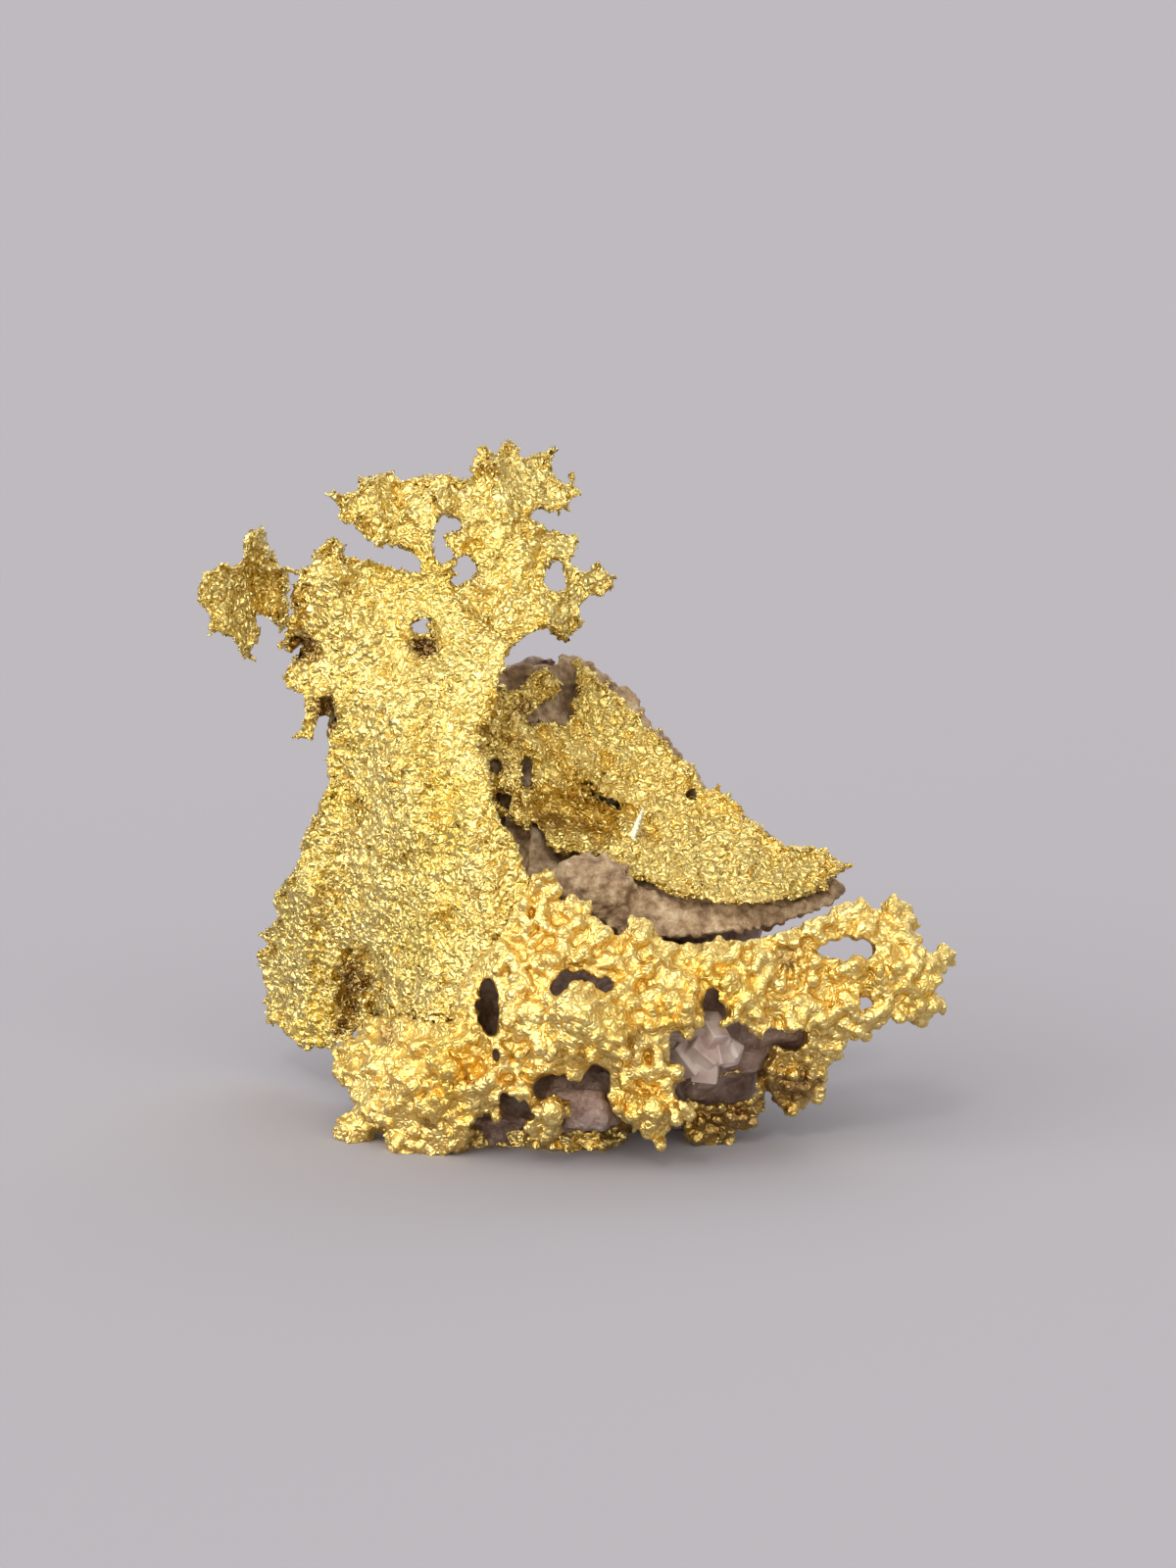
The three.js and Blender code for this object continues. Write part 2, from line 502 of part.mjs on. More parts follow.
// The spray: a lacy, branching leaf that stands out at the lower right
const spray = {
  corners: [
    [7.35, 6.4], [7.9, 6.6], [8.2, 6.5], [8.3, 6.15], [8.7, 6.4], [9.0, 6.75], [9.15, 6.45],
    [9.4, 6.35], [9.5, 5.9], [9.6, 5.3], [9.9, 5.05], [10.5, 5.05], [10.4, 4.7], [10.1, 4.5],
    [10.0, 4.1], [10.3, 3.8], [10.4, 3.5], [10.0, 3.3], [9.5, 3.45], [9.0, 3.5], [8.7, 3.3],
    [8.4, 3.0], [8.0, 2.9], [7.5, 3.0], [7.45, 3.8], [7.5, 4.85], [8.4, 4.95], [8.55, 5.3],
    [8.0, 5.6], [7.4, 5.6],
  ],
  teeth: { pitch: 0.8, bite: 0.1, seed: 19 },
  holes: [[[7.85, 3.85], [8.35, 3.9], [8.45, 3.45], [8.0, 3.3]]],
  depth: depthNet({
    xs: [6.5, 8, 9.2, 10.6],
    zs: [2.8, 4, 5, 7],
    rows: [
      [-2.2, -2.6, -2.3, -1.4],
      [-2.4, -3.0, -2.8, -1.8],
      [-2.3, -2.8, -2.4, -1.6],
      [-1.6, -1.4, -0.8, 0.0],
    ],
  }),
  cell: 1.2,
  crystals: { count: 8, least: 0.22, most: 0.34, seed: 28 },
};

// Two scalloped leaves that show below the rock at the lower right
const scallopLeft = {
  corners: [
    [3.2, 0.5], [3.2, -0.1], [3.5, -0.3], [4.1, -0.32], [4.5, -0.1], [4.7, 0.2], [5.1, 0.4],
    [5.35, 0.8], [5.2, 1.4], [4.6, 1.7], [3.9, 1.5], [3.4, 1.0],
  ],
  teeth: { pitch: 0.7, bite: 0.08, seed: 31 },
  depth: (x, z) => -1.35 - 0.4 * (z + 0.3) + 0.1 * (x - 4) ** 2,
  cell: 0.8,
  crystals: { count: 2, least: 0.18, most: 0.24, seed: 32 },
};
const scallopRight = {
  corners: [
    [5.35, 1.5], [5.6, 1.15], [6.0, 0.55], [6.5, 0.85], [6.9, 1.2], [7.1, 1.7], [7.2, 2.4],
    [6.8, 2.9], [6.0, 2.8], [5.5, 2.2],
  ],
  teeth: { pitch: 0.7, bite: 0.08, seed: 33 },
  depth: (x, z) => -1.35 - 0.5 * (z - 1) + 0.15 * (x - 6.2) ** 2,
  cell: 0.8,
  crystals: { count: 2, least: 0.18, most: 0.24, seed: 34 },
};

// The sole: a gold leaf that lies flat under the rock, and on which the specimen rests
function soleLeaf(grow = 0) {
  const rim = ragged([
    [-4.6, -1.5], [-3.4, -1.95], [-2.2, -1.7], [-0.8, -2.0], [0.9, -2.1], [1.2, -1.0],
    [1.6, 0.2], [1.1, 1.6], [0.4, 3.0], [-1.2, 3.8], [-3.0, 3.5], [-4.4, 2.4], [-5.0, 0.6],
  ], { pitch: 0.9, bite: 0.12, seed: 37 });
  const shape = new THREE.Shape(widened(rim, grow).map(([x, y]) => new THREE.Vector2(x, y)));
  const height = SOLE_THICKNESS + grow;
  const flat = new THREE.ExtrudeGeometry(shape, { depth: height, steps: 1, bevelEnabled: false });
  return solidOf(flat);
}

// The rock core, built from its masses
function rockCore(grow = 0) {
  return Manifold.union(ROCK_MASSES.map((mass) => rockMass(mass, grow)));
}

// The quartz: a cluster of pale grains that shows through the window at the lower right
const QUARTZ_GRAINS = [
  [3.0, 2.55, 0.6], [3.8, 2.7, 0.6], [3.5, 2.05, 0.6], [2.95, 2.1, 0.45], [4.3, 2.3, 0.5],
  [3.9, 3.1, 0.4],
];

function quartzCluster(grow = 0) {
  return Manifold.union(QUARTZ_GRAINS.map(([x, z, radius], i) => (
    knob(drawn(x, z, -2.9 + 0.25 * Math.abs(x - 3.8)), radius + grow, { seed: 80 + i, uneven: 0.1 })
  )));
}

// The pieces, each cut clear of those before it
const studded = (piece, grow = 0) => Manifold.union([leaf(piece, grow), ...studs(piece, grow)]);
const cut = (solid, other) => solid.subtract(other);
const clearOf = (solid, ...others) => largestPart(others.reduce(cut, solid));

const near = {
  main: studded(mainLeaf, GAP),
  right: leaf(crownRight, GAP),
  top: leaf(crownTop, GAP),
  left: leaf(crownLeft, GAP),
  dish: leaf(rightLeaf, GAP),
  plate: plateWithEnd(GAP),
  spray: leaf(spray, GAP),
  crust: crystalCrust(GAP),
  sole: soleLeaf(GAP),
  rock: rockCore(GAP),
  quartz: quartzCluster(GAP),
};
const rockOnly = clearOf(
  rockCore(), near.main, near.dish, near.plate, near.sole, near.quartz,
);

const pieces = {
  main_leaf: largestPart(studded(mainLeaf)),
  crown_right_branch: clearOf(studded(crownRight), near.main),
  crown_top_leaf: clearOf(studded(crownTop), near.main, near.right),
  crown_left_lobe: clearOf(studded(crownLeft), near.main, near.right, near.top),
  curled_flap: clearOf(studded(flap), near.main, near.left),
  right_leaf: clearOf(studded(rightLeaf), near.main),
  rock_plate: clearOf(plateWithEnd(), near.main, near.dish),
  sole_leaf: soleLeaf(),
  rock_core: rockOnly,
};
Object.assign(pieces, {
  quartz_grains: clearOf(quartzCluster(), near.dish, near.plate),
  crystal_crust: clearOf(
    crystalCrust(), near.main, near.dish, near.plate, near.sole, near.rock, near.quartz, near.spray,
  ),
  right_spray: clearOf(studded(spray), near.dish, near.plate, near.rock),
  scallop_leaf_left: clearOf(studded(scallopLeft), near.rock, near.sole, near.crust),
  scallop_leaf_right: clearOf(studded(scallopRight), near.rock, near.crust, near.spray),
});

// Finishes
const gold = { color: 0xd9a93c, metalness: 1, roughness: 0.34 };
const rock = { color: 0x6b5040, metalness: 0, roughness: 0.9 };
const quartzFinish = { color: 0xcbb9b4, metalness: 0, roughness: 0.25 };
const finishes = { rock_plate: rock, rock_core: rock, quartz_grains: quartzFinish };

// The specimen, moved so that its origin is under the middle of its bounding box
const specimen = new THREE.Group();
for (const [name, solid] of Object.entries(pieces)) {
  const body = geometryOf(largestPart(solid.subtract(belowFloor)));
  const mesh = new THREE.Mesh(body, new THREE.MeshStandardMaterial(finishes[name] ?? gold));
  mesh.name = name;
  specimen.add(mesh);
}
const bounds = new THREE.Box3().setFromObject(specimen);
const middle = bounds.getCenter(new THREE.Vector3());
specimen.position.set(-middle.x, -middle.y, -bounds.min.z);

export default specimen;
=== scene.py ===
import math
import random

import bmesh
import bpy
import numpy as np
from mathutils import Euler, Matrix, Vector
from mathutils.bvhtree import BVHTree


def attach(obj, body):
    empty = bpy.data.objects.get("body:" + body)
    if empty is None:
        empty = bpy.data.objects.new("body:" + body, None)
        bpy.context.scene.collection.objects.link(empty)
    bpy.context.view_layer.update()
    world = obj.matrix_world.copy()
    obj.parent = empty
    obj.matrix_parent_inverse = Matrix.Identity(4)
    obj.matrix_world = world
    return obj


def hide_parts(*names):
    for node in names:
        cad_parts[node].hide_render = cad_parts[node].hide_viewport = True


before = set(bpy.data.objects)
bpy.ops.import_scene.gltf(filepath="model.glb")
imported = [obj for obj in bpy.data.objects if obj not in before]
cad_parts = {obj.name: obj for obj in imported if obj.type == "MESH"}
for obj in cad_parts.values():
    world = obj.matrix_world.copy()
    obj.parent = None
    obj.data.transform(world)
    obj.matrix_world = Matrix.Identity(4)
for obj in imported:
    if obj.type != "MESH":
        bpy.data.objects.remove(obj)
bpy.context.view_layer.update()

# The main leaf, the three lobes of its crown and the flap at its side are one growth of native gold:
# a thin, crinkled sheet of tiny crystals with a granular, branching rim. It is made on a copy of
# their solids, in millimetres, with gold grown across the joints where the crown forks.
MM = 1000.0
# The front view is drawn on an upright plane through DRAWING, as it is seen from EYE.
EYE = Vector((0.448, -128.4, 34.37))
DRAWING = Vector((0.048, -0.4, 0.0))
WELD = 0.002
# Sizes of the grains of gold, from smallest to largest, and how they follow each other.
RIM_ANGLE = math.radians(48)
RIM_PITCH = 0.15
RIM_GRAIN = (0.07, 0.14)
SURFACE_GRAIN = (0.07, 0.13)
TWIG_SHARE = 0.05
TWIG_GRAIN = (0.07, 0.11)
TWIG_SWAY = 0.6
TWIG_STEP = 1.3
JOINT_GAP = 0.28
JOINT_SPOTS = 2200
JOINT_GRAIN = (0.13, 0.18)
STRAND_STEP = 0.8
STRAND_WIDTH = (0.85, 1.2)
BALL_WIDTH = (0.85, 1.1)
BATCH = 60
# How far back folds and cuts reach, and how ragged they are.
BACK_LIMIT = 5.2
BACK_FADE = 2.0
RAGGED = 0.09
CUT_REACH = 1.3
CUT_STEP = 0.5
CUT_WIDTH = (0.8, 1.2)
CUT_HEIGHT = (0.85, 1.15)
STEPS_SOFTENED = 0.5


def solid_copy(*nodes):
    """One mesh of these solids, in millimetres, with their shared corners joined."""
    bm = bmesh.new()
    for node in nodes:
        bm.from_mesh(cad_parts[node].data)
    bmesh.ops.scale(bm, vec=(MM, MM, MM), verts=bm.verts)
    bmesh.ops.remove_doubles(bm, verts=bm.verts, dist=WELD)
    bm.normal_update()
    return bm


def drawn_at(place):
    """The point of the front view at which a place is seen."""
    reach = (place[1] - EYE.y) / (DRAWING.y - EYE.y)
    x = EYE.x + (place[0] - EYE.x) / reach - DRAWING.x
    return x, EYE.z + (place[2] - EYE.z) / reach


def seen(tree, x, z):
    """Where a point of the front view is seen on a solid: the place, its normal and the sight line."""
    sight = (Vector((x, 0, z)) + DRAWING - EYE).normalized()
    place, normal = tree.ray_cast(EYE, sight)[:2]
    return place, normal, sight


def spots_on(bm, count, rng, wanted=None):
    """Random places on the faces of a solid, each with the way that its face looks."""
    faces = [f for f in bm.faces if wanted is None or wanted(f)]
    chosen = rng.choices(faces, weights=[f.calc_area() for f in faces], k=count)
    spots = []
    for face in chosen:
        a, b, c = (v.co for v in face.verts[:3])
        low, high = sorted((rng.random(), rng.random()))
        spots.append((a * low + b * (high - low) + c * (1 - high), face.normal.copy()))
    return spots


def rim_spots(bm, pitch, rng):
    """Places along the sharp edges of a solid, which are the rim of a leaf, with the way out."""
    spots = []
    for edge in bm.edges:
        if len(edge.link_faces) != 2 or edge.calc_face_angle(0) < RIM_ANGLE:
            continue
        out = (edge.link_faces[0].normal + edge.link_faces[1].normal).normalized()
        start, end = (v.co for v in edge.verts)
        for _ in range(int(edge.calc_length() / pitch + rng.random())):
            spots.append((start.lerp(end, rng.random()), out))
    return spots


def grains_at(spots, least, most, rng, stand=0.2):
    """A ball for each spot, standing out of the surface by a share of its radius."""
    balls = []
    for place, out in spots:
        radius = rng.uniform(least, most)
        balls.append((place + out * radius * stand, radius))
    return balls


def twigs_at(spots, rng):
    """Short chains of grains that grow out of a share of the spots of a rim."""
    balls = []
    for place, out in spots:
        if rng.random() > TWIG_SHARE:
            continue
        sway = Vector([rng.uniform(-TWIG_SWAY, TWIG_SWAY) for _ in range(3)])
        way = (out + sway).normalized()
        point = place.copy()
        for _ in range(rng.randint(1, 2)):
            radius = rng.uniform(*TWIG_GRAIN)
            point = point + way * radius * TWIG_STEP
            balls.append((point.copy(), radius))
    return balls


def leaf_grains(leaf, count, rng):
    """The grains all over a leaf and along its rim, with the twigs of the rim."""
    rim = rim_spots(leaf, RIM_PITCH, rng)
    balls = grains_at(spots_on(leaf, count, rng), *SURFACE_GRAIN, rng)
    balls += grains_at(rim, *RIM_GRAIN, rng)
    return balls + twigs_at(rim, rng)


def joint_grains(node, neighbour, rng):
    """Gold grown across the narrow joint between two solids."""
    here, there = solid_copy(node), solid_copy(neighbour)
    tree = BVHTree.FromBMesh(there)
    balls = []
    for place, _ in spots_on(here, JOINT_SPOTS, rng):
        found = tree.find_nearest(place, JOINT_GAP)
        if found[0] is not None:
            balls.append((place.lerp(found[0], 0.5), rng.uniform(*JOINT_GRAIN)))
    here.free()
    there.free()
    return balls


def strand(tree, start, end, radius, rng):
    """A thin twig of grains between two points of the front view."""
    first = seen(tree, *start)[0]
    last = seen(tree, *end)[0]
    steps = int((last - first).length / (radius * STRAND_STEP)) + 1
    balls = []
    for step in range(steps + 1):
        place = first.lerp(last, step / steps) + Vector((0, radius, 0))
        balls.append((place, radius * rng.uniform(*STRAND_WIDTH)))
    return balls


def clear_of(balls, openings):
    """The balls that stay out of these openings: a point of the front view and a radius."""
    kept = []
    for place, radius in balls:
        x, z = drawn_at(place)
        if all(math.hypot(x - at[0], z - at[1]) > at[2] for at in openings):
            kept.append((place, radius))
    return kept


def add_balls(bm, balls, rng, longest=1.4, detail=1):
    """Crystal grains, each a small ball that is a little longer one way."""
    for start in range(0, len(balls), BATCH):
        batch = bmesh.new()
        for centre, radius in balls[start : start + BATCH]:
            size = Vector((rng.uniform(1, longest), rng.uniform(*BALL_WIDTH), rng.uniform(*BALL_WIDTH)))
            turn = Euler([rng.uniform(0, math.tau) for _ in range(3)])
            place = Matrix.LocRotScale(centre, turn, size * radius)
            bmesh.ops.create_icosphere(batch, subdivisions=detail, radius=1, matrix=place)
        together = bpy.data.meshes.new("batch")
        batch.to_mesh(together)
        batch.free()
        bm.from_mesh(together)
        bpy.data.meshes.remove(together)


def relief(kind, size, strength, **settings):
    """A procedural relief for a surface: its texture, and how far it lifts the surface."""
    texture = bpy.data.textures.new(f"{kind.lower()}_{size}", type=kind)
    texture.noise_scale = size
    for key, value in settings.items():
        setattr(texture, key, value)
    return texture, strength


def pressed(points, strokes):
    """Pushes a surface back along strokes of the front view: two ends, a width and a depth.

    The push fades toward the back, and a wander of waves makes its edge ragged.
    """
    xs, zs = drawn_at(points.T)
    front = np.clip((BACK_LIMIT + BACK_FADE - points[:, 1]) / BACK_FADE, 0, 1)
    wander = np.sin(11 * xs + 5 * zs) + np.sin(7 * zs - 13 * xs) + np.sin(23 * zs + 3 * xs)
    for ax, az, bx, bz, width, depth in strokes:
        run = max((bx - ax) ** 2 + (bz - az) ** 2, 1e-6)
        along = np.clip(((xs - ax) * (bx - ax) + (zs - az) * (bz - az)) / run, 0, 1)
        gap = np.hypot(xs - ax - along * (bx - ax), zs - az - along * (bz - az)) / width
        gap = np.maximum(gap + RAGGED * wander, 0)
        points[:, 1] += front * depth * np.clip(1 - gap**2, 0, None) ** 2


def cutter_for(tree, cuts, rng, deepest):
    """Balls along lines of the front view, to cut openings through a sheet: ends and a radius."""
    cutter = bmesh.new()
    for ax, az, bx, bz, radius in cuts:
        steps = int(math.hypot(bx - ax, bz - az) / (radius * CUT_STEP)) + 1
        for step in range(steps + 1):
            share = step / steps
            place, _, sight = seen(tree, ax + (bx - ax) * share, az + (bz - az) * share)
            if place is None or place.y > deepest:
                continue
            wide = radius * rng.uniform(*CUT_WIDTH)
            size = Vector((wide, CUT_REACH, wide * rng.uniform(*CUT_HEIGHT)))
            turn = sight.to_track_quat("Y", "Z")
            ball = Matrix.LocRotScale(place + sight * CUT_REACH / 3, turn, size)
            bmesh.ops.create_icosphere(cutter, subdivisions=2, radius=1, matrix=ball)
    return cutter


def one_skin(shape, voxel):
    """Rebuilds all that a shape holds as one closed skin."""
    remesh = shape.modifiers.new("one_skin", "REMESH")
    remesh.mode = "VOXEL"
    remesh.voxel_size = voxel


def soften(shape, factor):
    """Rounds the smallest steps of a shape."""
    smooth = shape.modifiers.new("soften", "SMOOTH")
    smooth.factor = factor


def new_shape(name, bm):
    """An object in the scene that holds this mesh."""
    shell = bpy.data.meshes.new(name)
    bm.to_mesh(shell)
    bm.free()
    shape = bpy.data.objects.new(name, shell)
    bpy.context.scene.collection.objects.link(shape)
    return shape


def put_piece(name, mesh, nodes, smooth=True):
    """A finished mesh in metres becomes a piece that takes the place of these solids."""
    mesh.name = name
    mesh.materials.clear()
    mesh.polygons.foreach_set("use_smooth", [smooth] * len(mesh.polygons))
    piece = bpy.data.objects.new(name, mesh)
    bpy.context.scene.collection.objects.link(piece)
    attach(piece, "root")
    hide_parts(*nodes)
    return piece


def skin(name, bm, voxel, reliefs, nodes, keep, strokes=(), cutter=None, settle=0.4):
    """One closed skin over everything in the mesh, on the floor and in metres.

    The cutter opens it, the reliefs lift it and the strokes press it in. It keeps a share of its
    faces, most of them where it bends, and settle says how far its relief is rounded.
    """
    shape = new_shape(name + "_shape", bm)
    one_skin(shape, voxel)
    if cutter is not None:
        tool = new_shape(name + "_cutter", cutter)
        one_skin(tool, voxel)
        cut = shape.modifiers.new("openings", "BOOLEAN")
        cut.operation = "DIFFERENCE"
        cut.solver = "MANIFOLD"
        cut.object = tool
        one_skin(shape, voxel)
    soften(shape, STEPS_SOFTENED)
    for texture, strength in reliefs:
        lift = shape.modifiers.new(texture.name, "DISPLACE")
        lift.texture = texture
        lift.texture_coords = "LOCAL"
        lift.mid_level = 0.5
        lift.strength = strength
    soften(shape, settle)
    fewer = shape.modifiers.new("fewer_faces", "DECIMATE")
    fewer.ratio = keep
    bpy.context.view_layer.update()
    made = bpy.data.meshes.new_from_object(shape.evaluated_get(bpy.context.evaluated_depsgraph_get()))
    bpy.data.objects.remove(shape)
    if cutter is not None:
        bpy.data.objects.remove(tool)
    points = np.empty(len(made.vertices) * 3)
    made.vertices.foreach_get("co", points)
    points = points.reshape(-1, 3)
    pressed(points, strokes)
    points[:, 2] = np.maximum(points[:, 2], 0.0)
    made.vertices.foreach_set("co", (points / MM).ravel())
    made.update()
    return put_piece(name, made, nodes)


LEAF_VOXEL = 0.058
LEAF_KEEP = 0.58
LEAF_GRAINS = 1100
LEAF_NODES = ["main_leaf", "crown_right_branch", "crown_top_leaf", "crown_left_lobe", "curled_flap"]
# Folds: from one point of the front view to another, a width, and a depth (to the back where over 0).
LEAF_FOLDS = (
    (-6.15, 3.2, -6.05, 4.7, 0.85, 0.9),
    (-5.75, 4.1, -5.6, 3.4, 0.35, 0.5),
    (-7.5, 7.2, -7.6, 3.2, 0.7, -0.35),
    (-7.6, 13.75, -7.3, 13.65, 0.4, 0.6),
    (-6.85, 12.2, -6.8, 11.7, 0.25, 0.5),
    (-4.5, 14.15, -4.0, 14.2, 0.28, -0.4),
    (-6.9, 16.4, -6.5, 14.6, 0.8, -0.35),
    (-5.4, 15.6, -5.0, 13.0, 0.9, 0.25),
    (-4.9, 12.4, -4.5, 8.6, 1.1, -0.35),
    (-6.2, 10.6, -6.3, 6.8, 0.9, 0.3),
    (-3.0, 9.2, -2.4, 6.2, 0.8, -0.3),
    (-5.6, 18.3, -5.3, 17.2, 0.35, -0.25),
    (-4.85, 18.2, -4.75, 17.7, 0.22, 0.3),
    (-2.1, 19.2, -2.0, 17.7, 0.4, -0.3),
    (-3.6, 18.4, -3.5, 17.8, 0.4, -0.2),
    (-1.9, 14.6, -1.3, 16.6, 0.5, -0.3),
    (-2.9, 16.5, -2.7, 16.7, 0.25, 0.3),
    (-0.8, 14.9, -0.3, 14.4, 0.4, -0.25),
    (-8.7, 16.9, -8.35, 16.1, 0.3, -0.4),
    (-8.3, 16.1, -7.95, 15.0, 0.3, -0.4),
    (-8.95, 16.0, -8.5, 15.0, 0.3, 0.35),
    (-9.6, 15.6, -9.7, 14.6, 0.5, -0.2),
)
# Gold that shows behind the notches: a point of the front view, how far across and up from it the
# ball lies, and its radius.
BACKING_DEPTH = 0.55
# Painted shade is laid round the gold behind the notches, wider than its balls by this much.
BACKING_SHADE = 0.25
LEAF_BACKINGS = (
    (-4.4, 13.5, 0.35, 0.1, 0.32),
    (-4.4, 13.5, 0.2, 0.4, 0.3),
    (-7.1, 13.7, -0.4, 0.05, 0.26),
    (-6.5, 12.0, -0.35, 0.0, 0.26),
    (-6.5, 11.8, -0.3, -0.1, 0.2),
)
# Places that no grain may close: a point of the front view and a radius.
LEAF_OPENINGS = (
    (-0.55, 16.0, 0.25), (-0.5, 15.65, 0.25), (-3.5, 17.25, 0.28), (-3.75, 16.75, 0.16),
    (-3.75, 16.45, 0.14), (-3.05, 16.05, 0.22), (-3.25, 15.7, 0.15), (-5.6, 16.5, 0.2),
    (-5.1, 16.35, 0.18), (-4.7, 16.25, 0.16), (-4.2, 14.45, 0.2), (-4.0, 13.7, 0.15),
)
# Openings through the sheet: from one point of the front view to another, and a radius.
LEAF_CUTS = (
    (-4.4, 14.45, -4.0, 14.5, 0.1), (-4.12, 13.95, -4.0, 13.4, 0.1), (-4.6, 13.9, -4.4, 13.85, 0.07),
    (-4.0, 6.5, -4.0, 6.5, 0.08), (-4.6, 5.2, -4.6, 5.2, 0.06), (-5.8, 16.55, -4.6, 16.3, 0.08),
    (-3.75, 16.4, -3.75, 17.0, 0.09), (-3.7, 17.15, -3.3, 17.3, 0.15), (-3.2, 16.15, -2.9, 16.1, 0.12),
    (-3.15, 15.8, -3.3, 15.5, 0.08), (-0.5, 16.05, -0.5, 15.55, 0.15), (-1.5, 17.45, -0.9, 17.4, 0.1),
)
rng = random.Random(11)
leaf = solid_copy(*LEAF_NODES)
sight_of_leaf = BVHTree.FromBMesh(leaf)
leaf_balls = leaf_grains(leaf, LEAF_GRAINS, rng)
leaf_balls += strand(sight_of_leaf, (-8.15, 16.05), (-7.4, 15.8), 0.11, rng)
leaf_balls += strand(sight_of_leaf, (-4.15, 16.8), (-4.0, 15.6), 0.2, rng)
leaf_balls += strand(sight_of_leaf, (-4.85, 14.0), (-3.7, 14.3), 0.14, rng)
for lobe, stem in (
    ("crown_right_branch", "main_leaf"),
    ("crown_top_leaf", "crown_right_branch"),
    ("crown_left_lobe", "crown_top_leaf"),
):
    leaf_balls += joint_grains(lobe, stem, rng)
leaf_balls = clear_of(leaf_balls, LEAF_OPENINGS)
backings = []
for x, z, across, up, radius in LEAF_BACKINGS:
    behind = seen(sight_of_leaf, x, z)[0] + Vector((across, BACKING_DEPTH, up))
    backings.append((behind, radius))
add_balls(leaf, leaf_balls + backings, rng)
crinkle = relief(
    "DISTORTED_NOISE", 0.26, 0.12, noise_basis="VORONOI_F2_F1", noise_distortion="IMPROVED_PERLIN",
    distortion=0.7,
)
waves = relief("CLOUDS", 1.6, 0.25, noise_depth=1)
swells = relief("CLOUDS", 0.55, 0.1, noise_depth=1)
leaf_cutter = cutter_for(sight_of_leaf, LEAF_CUTS, rng, BACK_LIMIT)
main_growth = skin(
    "leaf_and_crown", leaf, LEAF_VOXEL, [waves, swells, crinkle], LEAF_NODES, LEAF_KEEP,
    LEAF_FOLDS, leaf_cutter,
)


def group_socket(group, name, way, kind="NodeSocketFloat", default=None):
    """Adds a named input or output to a node group."""
    socket = group.interface.new_socket(name=name, in_out=way, socket_type=kind)
    if default is not None:
        socket.default_value = default


def math_node(nodes, operation, value=None):
    """A node for a sum on numbers, whose second number may be a fixed one."""
    node = nodes.new("ShaderNodeMath")
    node.operation = operation
    if value is not None:
        node.inputs[1].default_value = value
    return node


def vector_node(nodes, operation):
    """A node for a sum on vectors."""
    node = nodes.new("ShaderNodeVectorMath")
    node.operation = operation
    return node


def spread_node(nodes, low, high, to_low=0.0, to_high=1.0):
    """A node that takes a value from one range to another."""
    node = nodes.new("ShaderNodeMapRange")
    for socket, value in zip(("From Min", "From Max", "To Min", "To Max"), (low, high, to_low, to_high)):
        node.inputs[socket].default_value = value
    return node


